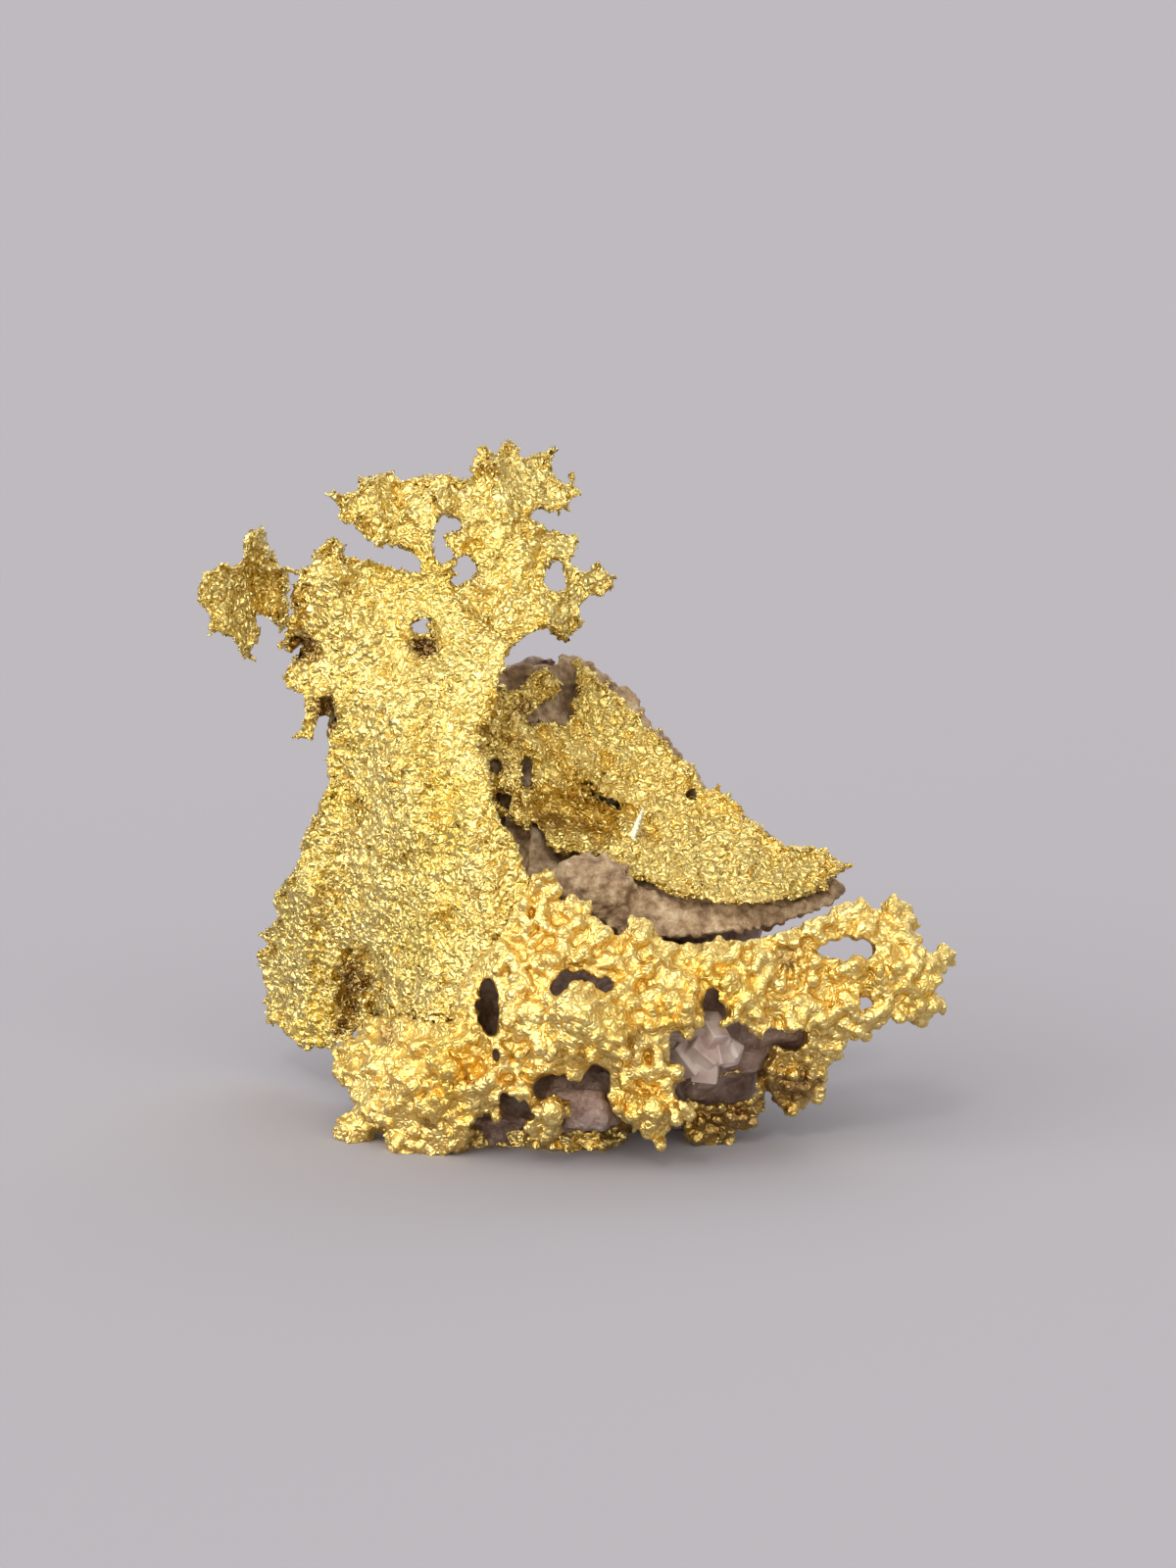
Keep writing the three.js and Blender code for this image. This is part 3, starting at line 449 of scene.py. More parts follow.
def crystal_grain_group():
    """Close-packed, worm-like crystals: height, a crevice mask for painted shade, glints and the tilt of
    their faces.
    """
    group = bpy.data.node_groups.new("Crystal grain", "ShaderNodeTree")
    group_socket(group, "Grains", "INPUT", default=4000.0)
    group_socket(group, "Warp", "INPUT", default=1.25)
    group_socket(group, "Height", "OUTPUT")
    group_socket(group, "Crevice", "OUTPUT")
    group_socket(group, "Glint", "OUTPUT")
    group_socket(group, "Tilt", "OUTPUT", "NodeSocketVector")
    nodes, links = group.nodes, group.links
    given = nodes.new("NodeGroupInput")
    coordinates = nodes.new("ShaderNodeTexCoord")
    drift = nodes.new("ShaderNodeTexNoise")
    drift.inputs["Detail"].default_value = 1.0
    centred = vector_node(nodes, "SUBTRACT")
    centred.inputs[1].default_value = (0.5, 0.5, 0.5)
    amount = math_node(nodes, "DIVIDE")
    shifted = vector_node(nodes, "SCALE")
    warped = vector_node(nodes, "ADD")
    edges = nodes.new("ShaderNodeTexVoronoi")
    edges.feature = "DISTANCE_TO_EDGE"
    cells = nodes.new("ShaderNodeTexVoronoi")
    rounded = spread_node(nodes, 0.0, 0.4)
    rounded.interpolation_type = "SMOOTHSTEP"
    # The crevice mask is 1 at the edges between crystals, where the gold gets painted shade.
    crevice = spread_node(nodes, 0.0, 0.2, 1.0, 0.0)
    fine = nodes.new("ShaderNodeTexNoise")
    fine.inputs["Detail"].default_value = 1.0
    finer = math_node(nodes, "MULTIPLY", 2.4)
    little = math_node(nodes, "MULTIPLY", 0.2)
    height = math_node(nodes, "ADD")
    glint = nodes.new("ShaderNodeSeparateColor")
    tilt = vector_node(nodes, "SUBTRACT")
    tilt.inputs[1].default_value = (0.5, 0.5, 0.5)
    out = nodes.new("NodeGroupOutput")
    links.new(coordinates.outputs["Object"], drift.inputs["Vector"])
    links.new(given.outputs["Grains"], drift.inputs["Scale"])
    links.new(drift.outputs["Color"], centred.inputs[0])
    links.new(given.outputs["Warp"], amount.inputs[0])
    links.new(given.outputs["Grains"], amount.inputs[1])
    links.new(centred.outputs["Vector"], shifted.inputs[0])
    links.new(amount.outputs["Value"], shifted.inputs["Scale"])
    links.new(coordinates.outputs["Object"], warped.inputs[0])
    links.new(shifted.outputs["Vector"], warped.inputs[1])
    for texture in (edges, cells):
        links.new(warped.outputs["Vector"], texture.inputs["Vector"])
        links.new(given.outputs["Grains"], texture.inputs["Scale"])
    links.new(given.outputs["Grains"], finer.inputs[0])
    links.new(coordinates.outputs["Object"], fine.inputs["Vector"])
    links.new(finer.outputs["Value"], fine.inputs["Scale"])
    links.new(edges.outputs["Distance"], rounded.inputs["Value"])
    links.new(edges.outputs["Distance"], crevice.inputs["Value"])
    links.new(fine.outputs["Fac"], little.inputs[0])
    links.new(rounded.outputs["Result"], height.inputs[0])
    links.new(little.outputs["Value"], height.inputs[1])
    links.new(cells.outputs["Color"], glint.inputs["Color"])
    links.new(cells.outputs["Color"], tilt.inputs[0])
    links.new(height.outputs["Value"], out.inputs["Height"])
    links.new(crevice.outputs["Result"], out.inputs["Crevice"])
    links.new(glint.outputs["Red"], out.inputs["Glint"])
    links.new(tilt.outputs["Vector"], out.inputs["Tilt"])
    return group


def painted_shade_group():
    """A ragged patch of painted shade round a place: 1 in its middle, 0 outside."""
    group = bpy.data.node_groups.new("Painted shade", "ShaderNodeTree")
    group_socket(group, "Place", "INPUT", "NodeSocketVector")
    group_socket(group, "Radius", "INPUT", default=0.001)
    group_socket(group, "Mask", "OUTPUT")
    nodes, links = group.nodes, group.links
    given = nodes.new("NodeGroupInput")
    coordinates = nodes.new("ShaderNodeTexCoord")
    away = vector_node(nodes, "DISTANCE")
    share = math_node(nodes, "DIVIDE")
    ragged = nodes.new("ShaderNodeTexNoise")
    ragged.inputs["Scale"].default_value = 2500.0
    ragged.inputs["Detail"].default_value = 3.0
    summed = math_node(nodes, "ADD")
    mask = spread_node(nodes, 1.7, 1.1, 0.0, 0.7)
    out = nodes.new("NodeGroupOutput")
    links.new(coordinates.outputs["Object"], away.inputs[0])
    links.new(given.outputs["Place"], away.inputs[1])
    links.new(away.outputs["Value"], share.inputs[0])
    links.new(given.outputs["Radius"], share.inputs[1])
    links.new(coordinates.outputs["Object"], ragged.inputs["Vector"])
    links.new(share.outputs["Value"], summed.inputs[0])
    links.new(ragged.outputs["Fac"], summed.inputs[1])
    links.new(summed.outputs["Value"], mask.inputs["Value"])
    links.new(mask.outputs["Result"], out.inputs["Mask"])
    return group


CRYSTAL_GRAIN = crystal_grain_group()
PAINTED_SHADE = painted_shade_group()


def ramp(nodes, *stops):
    """A colour ramp node with these stops: place along it and colour."""
    node = nodes.new("ShaderNodeValToRGB")
    elements = node.color_ramp.elements
    while len(elements) < len(stops):
        elements.new(0.5)
    for element, (place, colour) in zip(elements, stops):
        element.position = place
        element.color = (*colour, 1.0)
    return node


def mix_node(nodes, blend="MIX", factor=0.5):
    """A node that mixes two colours."""
    node = nodes.new("ShaderNodeMix")
    node.data_type = "RGBA"
    node.blend_type = blend
    node.inputs["Factor"].default_value = factor
    return node


# The brown of the patches of painted shade.
SHADE_BROWN = (0.26, 0.14, 0.05, 1.0)
GRAIN_DEPTH = 0.00006
PATCH_SCALE = 420.0


def gold(name, bright, shade_tone, patch, grains, bump, facets, rough, shade_patches=()):
    """Native gold: bright crystals, painted shade in its hollows and crevices, and brown painted shade
    at places.
    """
    material = bpy.data.materials.new(name)
    material.use_nodes = True
    nodes, links = material.node_tree.nodes, material.node_tree.links
    surface = nodes["Principled BSDF"]
    grain = nodes.new("ShaderNodeGroup")
    grain.node_tree = CRYSTAL_GRAIN
    grain.inputs["Grains"].default_value = grains
    shape = nodes.new("ShaderNodeNewGeometry")
    middle = tuple(b * 0.7 + d * 0.3 for b, d in zip(bright, shade_tone))
    # Painted shade: a darker tone in the hollows of the mesh, paler gold on its ridges.
    hollow_shade_ramp = ramp(nodes, (0.4, shade_tone), (0.475, middle), (0.52, bright))
    coordinates = nodes.new("ShaderNodeTexCoord")
    wide = nodes.new("ShaderNodeTexNoise")
    wide.inputs["Scale"].default_value = PATCH_SCALE
    wide.inputs["Detail"].default_value = 3.0
    wide_share = spread_node(nodes, 0.5, 0.72, 0.0, 0.75)
    toned = mix_node(nodes)
    toned.inputs["B"].default_value = (*patch, 1.0)
    # Painted shade: the shade tone is mixed into the crevices between the crystals.
    crevice_shade_share = math_node(nodes, "MULTIPLY", 0.7)
    crevice_shaded = mix_node(nodes)
    crevice_shaded.inputs["B"].default_value = (*shade_tone, 1.0)
    polish = spread_node(nodes, 0.0, 1.0, *rough)
    lift = nodes.new("ShaderNodeBump")
    lift.inputs["Strength"].default_value = bump
    lift.inputs["Distance"].default_value = GRAIN_DEPTH
    tilted = vector_node(nodes, "SCALE")
    tilted.inputs["Scale"].default_value = facets
    facing = vector_node(nodes, "ADD")
    unit = vector_node(nodes, "NORMALIZE")
    links.new(coordinates.outputs["Object"], wide.inputs["Vector"])
    links.new(shape.outputs["Pointiness"], hollow_shade_ramp.inputs["Fac"])
    links.new(wide.outputs["Fac"], wide_share.inputs["Value"])
    links.new(wide_share.outputs["Result"], toned.inputs["Factor"])
    links.new(hollow_shade_ramp.outputs["Color"], toned.inputs["A"])
    links.new(grain.outputs["Crevice"], crevice_shade_share.inputs[0])
    links.new(crevice_shade_share.outputs["Value"], crevice_shaded.inputs["Factor"])
    links.new(toned.outputs["Result"], crevice_shaded.inputs["A"])
    links.new(grain.outputs["Glint"], polish.inputs["Value"])
    links.new(grain.outputs["Height"], lift.inputs["Height"])
    links.new(grain.outputs["Tilt"], tilted.inputs[0])
    links.new(lift.outputs["Normal"], facing.inputs[0])
    links.new(tilted.outputs["Vector"], facing.inputs[1])
    links.new(facing.outputs["Vector"], unit.inputs[0])
    links.new(unit.outputs["Vector"], surface.inputs["Normal"])
    links.new(polish.outputs["Result"], surface.inputs["Roughness"])
    colour = crevice_shaded.outputs["Result"]
    # Brown painted shade at the given places.
    for place, radius in shade_patches:
        shade_patch = nodes.new("ShaderNodeGroup")
        shade_patch.node_tree = PAINTED_SHADE
        shade_patch.inputs["Place"].default_value = place / MM
        shade_patch.inputs["Radius"].default_value = radius / MM
        shaded_brown = mix_node(nodes)
        shaded_brown.inputs["B"].default_value = SHADE_BROWN
        links.new(shade_patch.outputs["Mask"], shaded_brown.inputs["Factor"])
        links.new(colour, shaded_brown.inputs["A"])
        colour = shaded_brown.outputs["Result"]
    surface.inputs["Metallic"].default_value = 1.0
    links.new(colour, surface.inputs["Base Color"])
    return material


def shade_patches_at(tree, spots):
    """Patches of painted shade at places given by a point of the front view, how far back it lies, and a
    radius.
    """
    found = [(seen(tree, x, z)[0], back, radius) for x, z, back, radius in spots]
    return [(place + Vector((0, back, 0)), radius) for place, back, radius in found if place]


# Painted shade: brown patches in the valley at the lower left of the main leaf, and round the gold
# behind its notches.
LEAF_SHADE_PATCHES = shade_patches_at(
    sight_of_leaf,
    ((-6.25, 4.2, 0.8, 0.62), (-6.4, 3.4, 0.5, 0.55), (-6.6, 2.9, 0.3, 0.4)),
)
LEAF_SHADE_PATCHES += [(place, radius + BACKING_SHADE) for place, radius in backings]
# The tone of the painted shade in the hollows and crevices of the leaves.
SHADE_GOLD = (0.62, 0.41, 0.09)
leaf_gold = gold(
    "leaf_gold", bright=(0.99, 0.83, 0.34), shade_tone=SHADE_GOLD, patch=(0.90, 0.70, 0.17),
    grains=4000.0, bump=1.0, facets=0.2, rough=(0.2, 0.38), shade_patches=LEAF_SHADE_PATCHES,
)
main_growth.data.materials.append(leaf_gold)

# The right leaf is a second sheet of gold, dished and sloping forward over a plate of rock, with
# folded hollows at its left. It is grown through with the same small crystals.
RIGHT_NODES = ["right_leaf"]
RIGHT_KEEP = 0.9
RIGHT_GRAINS = 500
# Folds and openings, given as on the main leaf.
RIGHT_FOLDS = (
    (-0.7, 9.3, 0.7, 8.8, 0.75, 0.8),
    (-0.9, 8.5, -0.1, 8.35, 0.4, -0.3),
    (-0.2, 10.6, 0.3, 10.9, 0.7, -0.35),
    (-0.9, 11.3, -0.2, 10.3, 0.3, 0.35),
    (0.1, 11.4, 0.9, 10.5, 0.35, 0.3),
    (0.35, 10.05, 1.25, 9.35, 0.3, -0.45),
    (1.5, 9.3, 2.2, 8.4, 0.35, 0.35),
    (-0.6, 12.85, -0.55, 12.75, 0.45, -0.4),
    (-1.6, 11.6, -0.9, 11.0, 0.5, -0.3),
    (-0.4, 9.9, -0.9, 9.6, 0.35, -0.3),
    (1.2, 12.2, 5.9, 8.1, 0.6, -0.12),
    (2.0, 10.2, 4.2, 8.6, 0.9, 0.15),
)
RIGHT_CUTS = (
    (-2.2, 10.5, -2.15, 10.4, 0.12), (-1.3, 10.65, -1.3, 10.0, 0.08), (-1.95, 9.6, -2.0, 9.3, 0.11),
    (-1.9, 8.95, -1.7, 8.85, 0.1), (3.27, 9.72, 3.3, 9.68, 0.1), (0.75, 7.85, 0.8, 7.75, 0.1),
    (0.25, 10.15, 1.2, 9.4, 0.09), (-1.15, 11.8, -0.2, 11.75, 0.13), (-0.45, 12.1, -0.1, 12.3, 0.15),
)
rng = random.Random(12)
leaf = solid_copy(*RIGHT_NODES)
sight_of_right = BVHTree.FromBMesh(leaf)
add_balls(leaf, leaf_grains(leaf, RIGHT_GRAINS, rng), rng)
right_cutter = cutter_for(sight_of_right, RIGHT_CUTS, rng, BACK_LIMIT)
right_growth = skin(
    "right_leaf_growth", leaf, LEAF_VOXEL, [waves, swells, crinkle], RIGHT_NODES,
    RIGHT_KEEP, RIGHT_FOLDS, right_cutter,
)
# Painted shade: brown patches in the hollow of the fold, round the slots at the left of the right leaf
# and in a fold at its right.
RIGHT_SHADE_PATCHES = shade_patches_at(
    sight_of_right,
    (
        (-0.5, 9.1, 0.3, 0.5), (0.5, 9.0, 0.3, 0.45), (-2.1, 10.4, 0.3, 0.28), (-1.35, 10.3, 0.3, 0.25),
        (-1.95, 9.5, 0.3, 0.3), (-1.4, 12.1, 0.1, 0.3), (1.9, 8.6, 0.2, 0.25),
    ),
)
right_gold = gold(
    "right_leaf_gold", bright=(0.94, 0.76, 0.3), shade_tone=SHADE_GOLD, patch=(0.78, 0.62, 0.19),
    grains=4200.0, bump=0.95, facets=0.2, rough=(0.2, 0.38), shade_patches=RIGHT_SHADE_PATCHES,
)
right_growth.data.materials.append(right_gold)

# A bright, silvery flake of gold stands on edge in the fold of the right leaf. It is a narrow blade
# with flat faces that tapers to its tip, and it grew out of the crystals at its foot.
FLAKE = (1.8, 8.85)
FLAKE_SIZE = Vector((0.38, 0.14, 1.0))
FLAKE_EDGE = 0.02
FLAKE_FORWARD = 0.16
FLAKE_TURN = Euler((math.radians(-14), math.radians(24), math.radians(18)))
flake = bmesh.new()
flake_place = seen(sight_of_right, *FLAKE)[0] + Vector((0, -FLAKE_FORWARD, 0))
bmesh.ops.create_cone(
    flake, cap_ends=True, segments=4, radius1=0.5, radius2=0.15, depth=1,
    matrix=Matrix.LocRotScale(flake_place, FLAKE_TURN, FLAKE_SIZE),
)
bmesh.ops.bevel(
    flake, geom=flake.edges[:], offset=FLAKE_EDGE, segments=1, profile=0.5, affect="EDGES", material=-1
)
bmesh.ops.scale(flake, vec=(1 / MM, 1 / MM, 1 / MM), verts=flake.verts)
flake_mesh = bpy.data.meshes.new("silvery_flake")
flake.to_mesh(flake_mesh)
flake.free()
silvery_flake = put_piece("silvery_flake", flake_mesh, RIGHT_NODES, smooth=False)
silvery_gold = gold(
    "silvery_gold", bright=(0.8, 0.74, 0.5), shade_tone=(0.4, 0.35, 0.2), patch=(0.72, 0.66, 0.42),
    grains=9000.0, bump=0.15, facets=0.05, rough=(0.12, 0.2),
)
silvery_flake.data.materials.append(silvery_gold)

# The crust is knobbly crystallised gold that wraps the foot: rounded crystals in clusters, with
# the lacy spray at its right end. The gold leaves under the foot belong to the same growth.
CRUST_NODES = ["crystal_crust", "right_spray", "scallop_leaf_left", "scallop_leaf_right", "sole_leaf"]
# The knobs that stand out: a point of the front view and a radius.
CRUST_KNOBS = (
    (0.1, 6.0, 0.24), (0.55, 6.0, 0.18), (0.85, 5.65, 0.28), (1.85, 5.6, 0.26), (2.05, 5.2, 0.22),
    (2.05, 4.6, 0.25), (1.1, 3.9, 0.2), (1.3, 2.6, 0.18), (2.75, 3.75, 0.3), (3.2, 3.6, 0.28),
    (3.15, 3.25, 0.24), (4.9, 3.8, 0.27), (5.25, 4.1, 0.22), (5.3, 3.7, 0.18), (6.1, 3.3, 0.25),
    (6.7, 4.35, 0.2), (5.1, 4.7, 0.2), (5.5, 5.0, 0.24), (6.8, 4.9, 0.24), (5.8, 4.2, 0.2),
    (7.0, 3.2, 0.28), (7.8, 3.7, 0.27), (8.3, 3.3, 0.24), (8.6, 4.4, 0.24), (9.1, 4.7, 0.24),
    (9.5, 4.6, 0.24), (10.1, 4.8, 0.2), (10.1, 3.6, 0.22), (9.8, 4.1, 0.2), (8.3, 5.8, 0.2),
    (9.2, 5.6, 0.22), (9.0, 6.4, 0.18), (9.3, 6.0, 0.18), (7.9, 6.3, 0.22), (7.5, 6.2, 0.18),
    (1.8, 2.1, 0.22), (1.7, 1.7, 0.24), (1.5, 1.4, 0.2), (2.4, 1.8, 0.28), (2.9, 1.7, 0.26),
    (3.1, 1.4, 0.22), (2.6, 1.3, 0.24), (3.1, 1.0, 0.2), (2.7, 0.85, 0.2), (2.2, 0.8, 0.24),
    (2.3, 0.5, 0.26), (2.5, 0.3, 0.2), (2.2, 0.15, 0.2), (-0.6, 0.55, 0.42), (-1.0, 0.5, 0.26),
    (-4.5, 1.3, 0.25), (-4.9, 0.8, 0.16), (-2.2, 1.0, 0.25), (-2.6, 1.3, 0.25), (-2.3, 1.5, 0.24),
    (-3.5, 1.8, 0.3), (-3.2, 2.5, 0.24), (-4.4, 2.4, 0.3), (-5.2, 2.0, 0.2), (-1.4, 3.4, 0.25),
    (-1.0, 3.3, 0.2), (-1.7, 3.9, 0.24), (-1.4, 4.2, 0.2), (-1.9, 3.5, 0.15), (-1.5, 3.0, 0.16),
    (-2.0, 5.2, 0.22), (-1.7, 5.0, 0.2), (-1.1, 4.9, 0.2), (-0.8, 5.0, 0.16), (-0.9, 2.4, 0.24),
    (-1.1, 2.7, 0.2), (-0.5, 4.9, 0.2), (0.3, 5.2, 0.22), (0.9, 5.0, 0.2), (1.5, 4.2, 0.22),
    (-1.2, 5.4, 0.2), (-0.3, 5.7, 0.24), (-0.9, 6.3, 0.2), (-3.2, 1.2, 0.24), (-3.9, 0.9, 0.2),
    (-5.6, 1.3, 0.22), (-1.6, 1.8, 0.22), (-1.3, 1.4, 0.2), (-2.0, 2.2, 0.22), (3.7, 4.6, 0.22),
    (4.4, 4.4, 0.24), (4.6, 3.6, 0.22), (3.3, 4.3, 0.24), (2.7, 4.3, 0.2), (2.3, 3.9, 0.22),
)
# Places that no grain may close, and openings through the crust, given as on the main leaf.
CRUST_OPENINGS = (
    (-2.4, 4.1, 0.36), (-2.35, 3.6, 0.42), (-2.4, 3.1, 0.4), (-0.4, 4.2, 0.3), (0.0, 4.5, 0.3),
    (0.4, 4.55, 0.3), (0.8, 4.25, 0.3), (-0.5, 1.4, 0.4), (0.1, 1.1, 0.4), (0.65, 1.5, 0.45),
    (0.6, 0.7, 0.4), (-1.7, 0.6, 0.4), (-1.8, 0.1, 0.4), (3.85, 3.9, 0.26), (3.75, 3.4, 0.34),
    (4.1, 3.4, 0.3), (2.8, 2.3, 0.4), (2.8, 2.8, 0.3), (3.2, 1.6, 0.3), (4.5, 2.9, 0.3),
    (7.1, 5.25, 0.3), (7.6, 5.25, 0.4), (8.1, 5.25, 0.35), (8.15, 3.65, 0.3),
)
CRUST_CUTS = (
    (-2.45, 4.3, -2.3, 3.8, 0.26), (-2.35, 3.8, -2.4, 2.95, 0.34), (-2.2, 2.3, -2.15, 2.1, 0.14),
    (-0.5, 4.05, -0.2, 4.45, 0.2), (-0.2, 4.45, 0.35, 4.6, 0.22), (0.35, 4.6, 0.9, 4.2, 0.2),
    (-0.9, 1.2, -0.35, 1.55, 0.28), (-0.1, 1.2, 0.3, 1.15, 0.33), (0.45, 1.8, 0.8, 1.3, 0.33),
    (0.15, 0.85, 0.2, 0.45, 0.27), (0.7, 1.0, 0.7, 0.5, 0.3), (-1.95, 0.95, -1.5, 0.6, 0.26),
    (-2.7, 0.5, -1.2, 0.42, 0.2), (3.85, 4.2, 3.85, 3.85, 0.15), (3.7, 3.7, 4.0, 3.3, 0.38),
    (4.4, 2.6, 5.3, 2.3, 0.36), (5.5, 2.75, 6.0, 2.6, 0.28), (6.2, 2.5, 6.4, 2.75, 0.24),
    (3.2, 1.1, 4.8, 1.3, 0.4), (3.1, 1.75, 5.2, 1.8, 0.5), (2.9, 2.3, 3.2, 2.6, 0.45),
    (4.3, 3.0, 4.9, 2.7, 0.3), (2.8, 2.2, 2.8, 2.8, 0.3),
)
# Only the front of the crust, up to CRUST_DEPTH, is opened. Its dome is a point and a radius.
CRUST_DEPTH = -1.0
CRUST_VOXEL = 0.06
CRUST_KEEP = 0.62
KNOB_STAND = 0.6
DOME = (0.15, 3.35, 0.95)
DOME_GRAINS = 75
DOME_GRAIN = (0.11, 0.17)
DOME_LIFT = 0.03
FINE_COUNT = 1500
FINE_PEBBLE = (0.09, 0.14)
BOLD_COUNT = 340
BOLD_PEBBLE = (0.15, 0.23)
BOLD_FROM_X = -2.2
PEBBLE_STAND = 0.85
CRUST_RIM_PITCH = 0.17
CRUST_RIM_GRAIN = (0.07, 0.13)
rng = random.Random(13)
crust = solid_copy(*CRUST_NODES)
sight_of_crust = BVHTree.FromBMesh(crust)
knobs = []
for x, z, radius in CRUST_KNOBS:
    place, _, sight = seen(sight_of_crust, x, z)
    if place is not None:
        knobs.append((place - sight * radius * KNOB_STAND, radius))
dome = []
while len(dome) < DOME_GRAINS:
    x, z = DOME[0] + rng.uniform(-1, 1), DOME[1] + rng.uniform(-1, 1)
    place, normal, _ = seen(sight_of_crust, x, z)
    if math.hypot(x - DOME[0], z - DOME[1]) < DOME[2] and place is not None:
        dome.append((place + normal * DOME_LIFT, rng.uniform(*DOME_GRAIN)))


def faces_forward(face):
    """Whether a face of the crust can be seen from the front, or nearly."""
    return face.normal.y < 0.2


def bears_bold_pebbles(face):
    """Whether a face looks forward and is right of the stretch where the crust is fine."""
    return face.normal.y < -0.2 and face.verts[0].co.x > BOLD_FROM_X


crust_rim = rim_spots(crust, CRUST_RIM_PITCH, rng)
fine_spots = spots_on(crust, FINE_COUNT, rng, faces_forward)
pebbles = grains_at(fine_spots, *FINE_PEBBLE, rng, stand=PEBBLE_STAND)
bold_spots = spots_on(crust, BOLD_COUNT, rng, bears_bold_pebbles)
pebbles += grains_at(bold_spots, *BOLD_PEBBLE, rng, stand=PEBBLE_STAND)
pebbles += grains_at(crust_rim, *CRUST_RIM_GRAIN, rng)
pebbles += joint_grains("right_spray", "crystal_crust", rng)
add_balls(crust, clear_of(knobs, CRUST_OPENINGS), rng, longest=1.15, detail=2)
add_balls(crust, clear_of(dome + pebbles, CRUST_OPENINGS), rng, longest=1.2)
crust_crinkle = relief("CLOUDS", 0.16, 0.02, noise_depth=1)
crust_cutter = cutter_for(sight_of_crust, CRUST_CUTS, rng, CRUST_DEPTH)
crust_growth = skin(
    "crystal_crust_growth", crust, CRUST_VOXEL, [swells, crust_crinkle], CRUST_NODES,
    CRUST_KEEP, cutter=crust_cutter, settle=0.1,
)
# Painted shade: brown patches on the scallop leaves under the crust, along its foot and at a few other
# places.
CRUST_SHADE_PATCHES = shade_patches_at(
    sight_of_crust,
    (
        (4.1, 0.3, 0.0, 0.85), (4.8, 0.5, 0.0, 0.7), (5.9, 1.2, 0.0, 0.8), (6.5, 1.4, 0.0, 0.6),
        (-4.0, 0.2, 0.2, 0.4), (6.0, 4.9, 0.0, 0.3), (-5.2, 2.7, 0.1, 0.35), (0.9, 0.2, 0.0, 0.4),
    ),
)
crust_gold = gold(
    "crust_gold", bright=(0.94, 0.75, 0.3), shade_tone=(0.6, 0.35, 0.05), patch=(0.92, 0.63, 0.12),
    grains=5200.0, bump=0.5, facets=0.08, rough=(0.26, 0.42), shade_patches=CRUST_SHADE_PATCHES,
)
crust_growth.data.materials.append(crust_gold)

# The wall rock is a brown, fine-grained rock with mauve iron staining. The core fills the space
# behind the leaves, and a thin curved plate of paler rock carries the right leaf.
CORE_VOXEL = 0.09
CORE_GRAINS = 350
CORE_GRAIN = (0.08, 0.16)
PLATE_VOXEL = 0.062
PLATE_RIM_PITCH = 0.3
PLATE_GRAIN = (0.07, 0.15)
ROCK_KEEP = 0.75
CORE_FOLDS = [
    (-3.0, -0.3, -0.9, -0.35, 0.6, 0.9),
    (-0.6, -0.4, 1.2, -0.4, 0.55, 0.9),
    (0.3, 7.2, 0.8, 6.6, 0.7, 0.5),
]
rng = random.Random(14)
core = solid_copy("rock_core")
add_balls(core, grains_at(spots_on(core, CORE_GRAINS, rng), *CORE_GRAIN, rng, stand=0.0), rng)
blocks = relief("VORONOI", 1.0, 0.6, distance_metric="CHEBYCHEV", noise_intensity=1.2)
lumps = relief("CLOUDS", 0.3, 0.12, noise_depth=3)
behind_folds = [stroke for stroke in LEAF_FOLDS + RIGHT_FOLDS if stroke[-1] > 0]
rock_core = skin(
    "rock_core_mass", core, CORE_VOXEL, [blocks, lumps], ["rock_core"], ROCK_KEEP,
    behind_folds + CORE_FOLDS,
)

plate = solid_copy("rock_plate")
plate_rim = rim_spots(plate, PLATE_RIM_PITCH, rng)
add_balls(plate, grains_at(plate_rim, *PLATE_GRAIN, rng, stand=0.0), rng)
flakes = relief("VORONOI", 0.5, 0.2, distance_metric="CHEBYCHEV", noise_intensity=1.2)
flecks = relief("CLOUDS", 0.2, 0.08, noise_depth=3)
rock_plate = skin(
    "rock_plate_flake", plate, PLATE_VOXEL, [flakes, flecks], ["rock_plate"], ROCK_KEEP,
    behind_folds,
)
ROCK_GRAIN_DEPTH = 0.00015


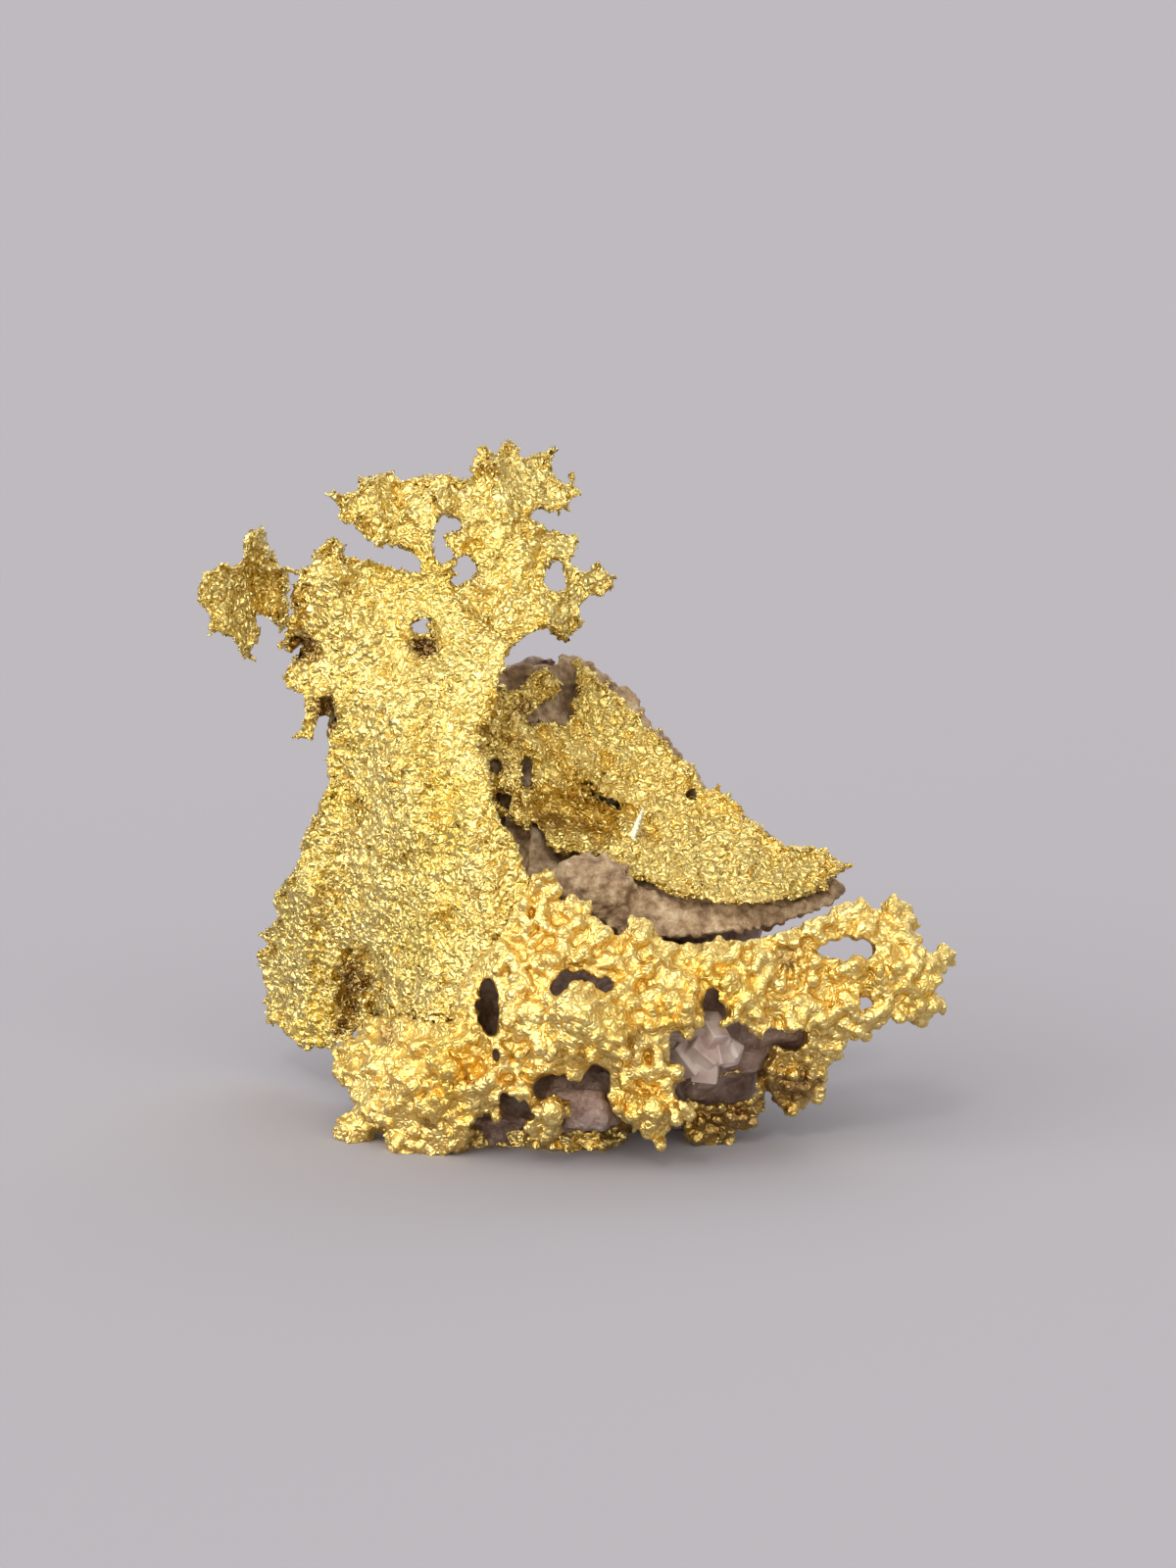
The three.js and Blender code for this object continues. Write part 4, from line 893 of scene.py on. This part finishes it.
def rock(name, tones, patch_scale):
    """Brown rock: patches of its tones, pale specks, and a granular surface."""
    material = bpy.data.materials.new(name)
    material.use_nodes = True
    nodes, links = material.node_tree.nodes, material.node_tree.links
    surface = nodes["Principled BSDF"]
    coordinates = nodes.new("ShaderNodeTexCoord")
    patches = nodes.new("ShaderNodeTexNoise")
    patches.inputs["Scale"].default_value = patch_scale
    patches.inputs["Detail"].default_value = 6.0
    patches.inputs["Roughness"].default_value = 0.68
    shades = ramp(nodes, *zip((0.32, 0.45, 0.57, 0.7), tones))
    specks = nodes.new("ShaderNodeTexVoronoi")
    specks.inputs["Scale"].default_value = 4200.0
    pale = ramp(nodes, (0.0, (0.55, 0.47, 0.4)), (0.2, (0.0, 0.0, 0.0)))
    mixed = mix_node(nodes, "ADD", 0.3)
    surface.inputs["Roughness"].default_value = 0.65
    lift = nodes.new("ShaderNodeBump")
    lift.inputs["Strength"].default_value = 0.9
    lift.inputs["Distance"].default_value = ROCK_GRAIN_DEPTH
    fine = nodes.new("ShaderNodeTexNoise")
    fine.inputs["Scale"].default_value = 4500.0
    fine.inputs["Detail"].default_value = 4.0
    for texture in (patches, specks, fine):
        links.new(coordinates.outputs["Object"], texture.inputs["Vector"])
    links.new(patches.outputs["Fac"], shades.inputs["Fac"])
    links.new(specks.outputs["Distance"], pale.inputs["Fac"])
    links.new(shades.outputs["Color"], mixed.inputs["A"])
    links.new(pale.outputs["Color"], mixed.inputs["B"])
    links.new(mixed.outputs["Result"], surface.inputs["Base Color"])
    links.new(fine.outputs["Fac"], lift.inputs["Height"])
    links.new(lift.outputs["Normal"], surface.inputs["Normal"])
    return material


MAUVE_TONES = ((0.12, 0.06, 0.04), (0.26, 0.16, 0.12), (0.38, 0.27, 0.22), (0.52, 0.42, 0.36))
TAN_TONES = ((0.13, 0.07, 0.03), (0.3, 0.18, 0.09), (0.48, 0.33, 0.18), (0.68, 0.53, 0.35))
rock_core.data.materials.append(rock("core_rock", MAUVE_TONES, 900.0))
rock_plate.data.materials.append(rock("plate_rock", TAN_TONES, 2300.0))

# The quartz is a cluster of milky, faintly pink crystals with flat, broken faces, grown into the
# rock at the lower right. Its blocks cross each other, as grown together.
# The blocks: a point of the front view and the side of the block.
QUARTZ_BLOCKS = (
    (2.65, 2.6, 0.6), (3.0, 2.85, 0.65), (3.45, 2.85, 0.7), (3.9, 2.75, 0.65), (2.7, 2.1, 0.6),
    (3.1, 2.1, 0.8), (3.6, 2.3, 0.85), (4.1, 2.3, 0.65), (3.1, 1.65, 0.6), (3.7, 1.75, 0.6),
)
QUARTZ_SINK = 0.2
QUARTZ_EDGE = 0.03
rng = random.Random(15)
quartz = solid_copy("quartz_grains")
sight_of_quartz = BVHTree.FromBMesh(quartz)
for x, z, side in QUARTZ_BLOCKS:
    place, _, sight = seen(sight_of_quartz, x, z)
    if place is None:
        continue
    turn = Euler([rng.uniform(0, math.tau) for _ in range(3)])
    size = Vector((side, side * rng.uniform(0.7, 1.0), side * rng.uniform(0.8, 1.25)))
    block = Matrix.LocRotScale(place + sight * side * QUARTZ_SINK, turn, size)
    bmesh.ops.create_cube(quartz, size=1, matrix=block)
bmesh.ops.bevel(
    quartz, geom=quartz.edges[:], offset=QUARTZ_EDGE, segments=1, profile=0.5, affect="EDGES",
    material=-1,
)
bmesh.ops.scale(quartz, vec=(1 / MM, 1 / MM, 1 / MM), verts=quartz.verts)
quartz_mesh = bpy.data.meshes.new("quartz_cluster")
quartz.to_mesh(quartz_mesh)
quartz.free()
quartz_cluster = put_piece("quartz_cluster", quartz_mesh, ["quartz_grains"], smooth=False)
milky = bpy.data.materials.new("milky_quartz")
milky.use_nodes = True
nodes, links = milky.node_tree.nodes, milky.node_tree.links
surface = nodes["Principled BSDF"]
surface.inputs["Roughness"].default_value = 0.35
surface.inputs["Transmission Weight"].default_value = 0.35
surface.inputs["IOR"].default_value = 1.54
coordinates = nodes.new("ShaderNodeTexCoord")
clouds = nodes.new("ShaderNodeTexNoise")
clouds.inputs["Scale"].default_value = 1600.0
clouds.inputs["Detail"].default_value = 4.0
tint = ramp(nodes, (0.35, (0.6, 0.43, 0.36)), (0.62, (0.92, 0.77, 0.69)))
links.new(coordinates.outputs["Object"], clouds.inputs["Vector"])
links.new(clouds.outputs["Fac"], tint.inputs["Fac"])
links.new(tint.outputs["Color"], surface.inputs["Base Color"])
quartz_cluster.data.materials.append(milky)

# The floor is a wide, plain, pale surface that the specimen rests on. It belongs to the studio and
# not to the specimen, so it is a single flat sheet.
FLOOR_SIDE = 4.0
FLOOR_COLOUR = (0.385, 0.365, 0.386, 1.0)
sheet = bmesh.new()
bmesh.ops.create_grid(sheet, x_segments=1, y_segments=1, size=FLOOR_SIDE / 2)
floor_mesh = bpy.data.meshes.new("floor")
sheet.to_mesh(floor_mesh)
sheet.free()
floor = bpy.data.objects.new("floor", floor_mesh)
bpy.context.scene.collection.objects.link(floor)
floor_paint = bpy.data.materials.new("pale_floor")
floor_paint.use_nodes = True
floor_surface = floor_paint.node_tree.nodes["Principled BSDF"]
floor_surface.inputs["Base Color"].default_value = FLOOR_COLOUR
floor_surface.inputs["Roughness"].default_value = 1.0
floor_surface.inputs["Specular IOR Level"].default_value = 0.0
floor_mesh.materials.append(floor_paint)

# Soft studio light from far away: a broad key in front, a broad fill from the left, one behind for
# the rims, and a narrow one that makes the crystals glint. A white surround fills the shadows.
# Each lamp: its name, where it stands, its spread in degrees and its power.
LAMPS = (
    ("key", (-0.3, -1.0, 0.2), 130, 2.5),
    ("fill", (-1.0, -0.6, -0.15), 90, 2.8),
    ("rim", (0.3, 1.0, 0.9), 50, 0.7),
    ("glint", (-0.15, -0.8, 0.75), 9, 0.45),
)
SURROUND = 0.68
for name, place, spread, power in LAMPS:
    lamp = bpy.data.lights.new(name, "SUN")
    lamp.angle = math.radians(spread)
    lamp.energy = power
    holder = bpy.data.objects.new(name, lamp)
    holder.location = place
    holder.rotation_euler = (-Vector(place)).to_track_quat("-Z", "Y").to_euler()
    bpy.context.scene.collection.objects.link(holder)
world = bpy.data.worlds.new("studio")
world.use_nodes = True
world.node_tree.nodes["Background"].inputs["Color"].default_value = (1.0, 1.0, 1.0, 1.0)
world.node_tree.nodes["Background"].inputs["Strength"].default_value = SURROUND
bpy.context.scene.world = world

# The camera stands in front, a little above, at the photograph's viewing angle.
TILT = math.radians(10.8)
LENS = 107.44
FILM_WIDTH = 36.0
view = bpy.data.cameras.new("eye")
view.lens = LENS
view.sensor_width = FILM_WIDTH
view.clip_start = 0.005
view.clip_end = 20.0
eye = bpy.data.objects.new("eye", view)
eye.location = EYE / MM
eye.rotation_euler = (math.pi / 2 - TILT, 0.0, 0.0)
bpy.context.scene.collection.objects.link(eye)
bpy.context.scene.camera = eye
bpy.context.scene.view_settings.view_transform = "Standard"
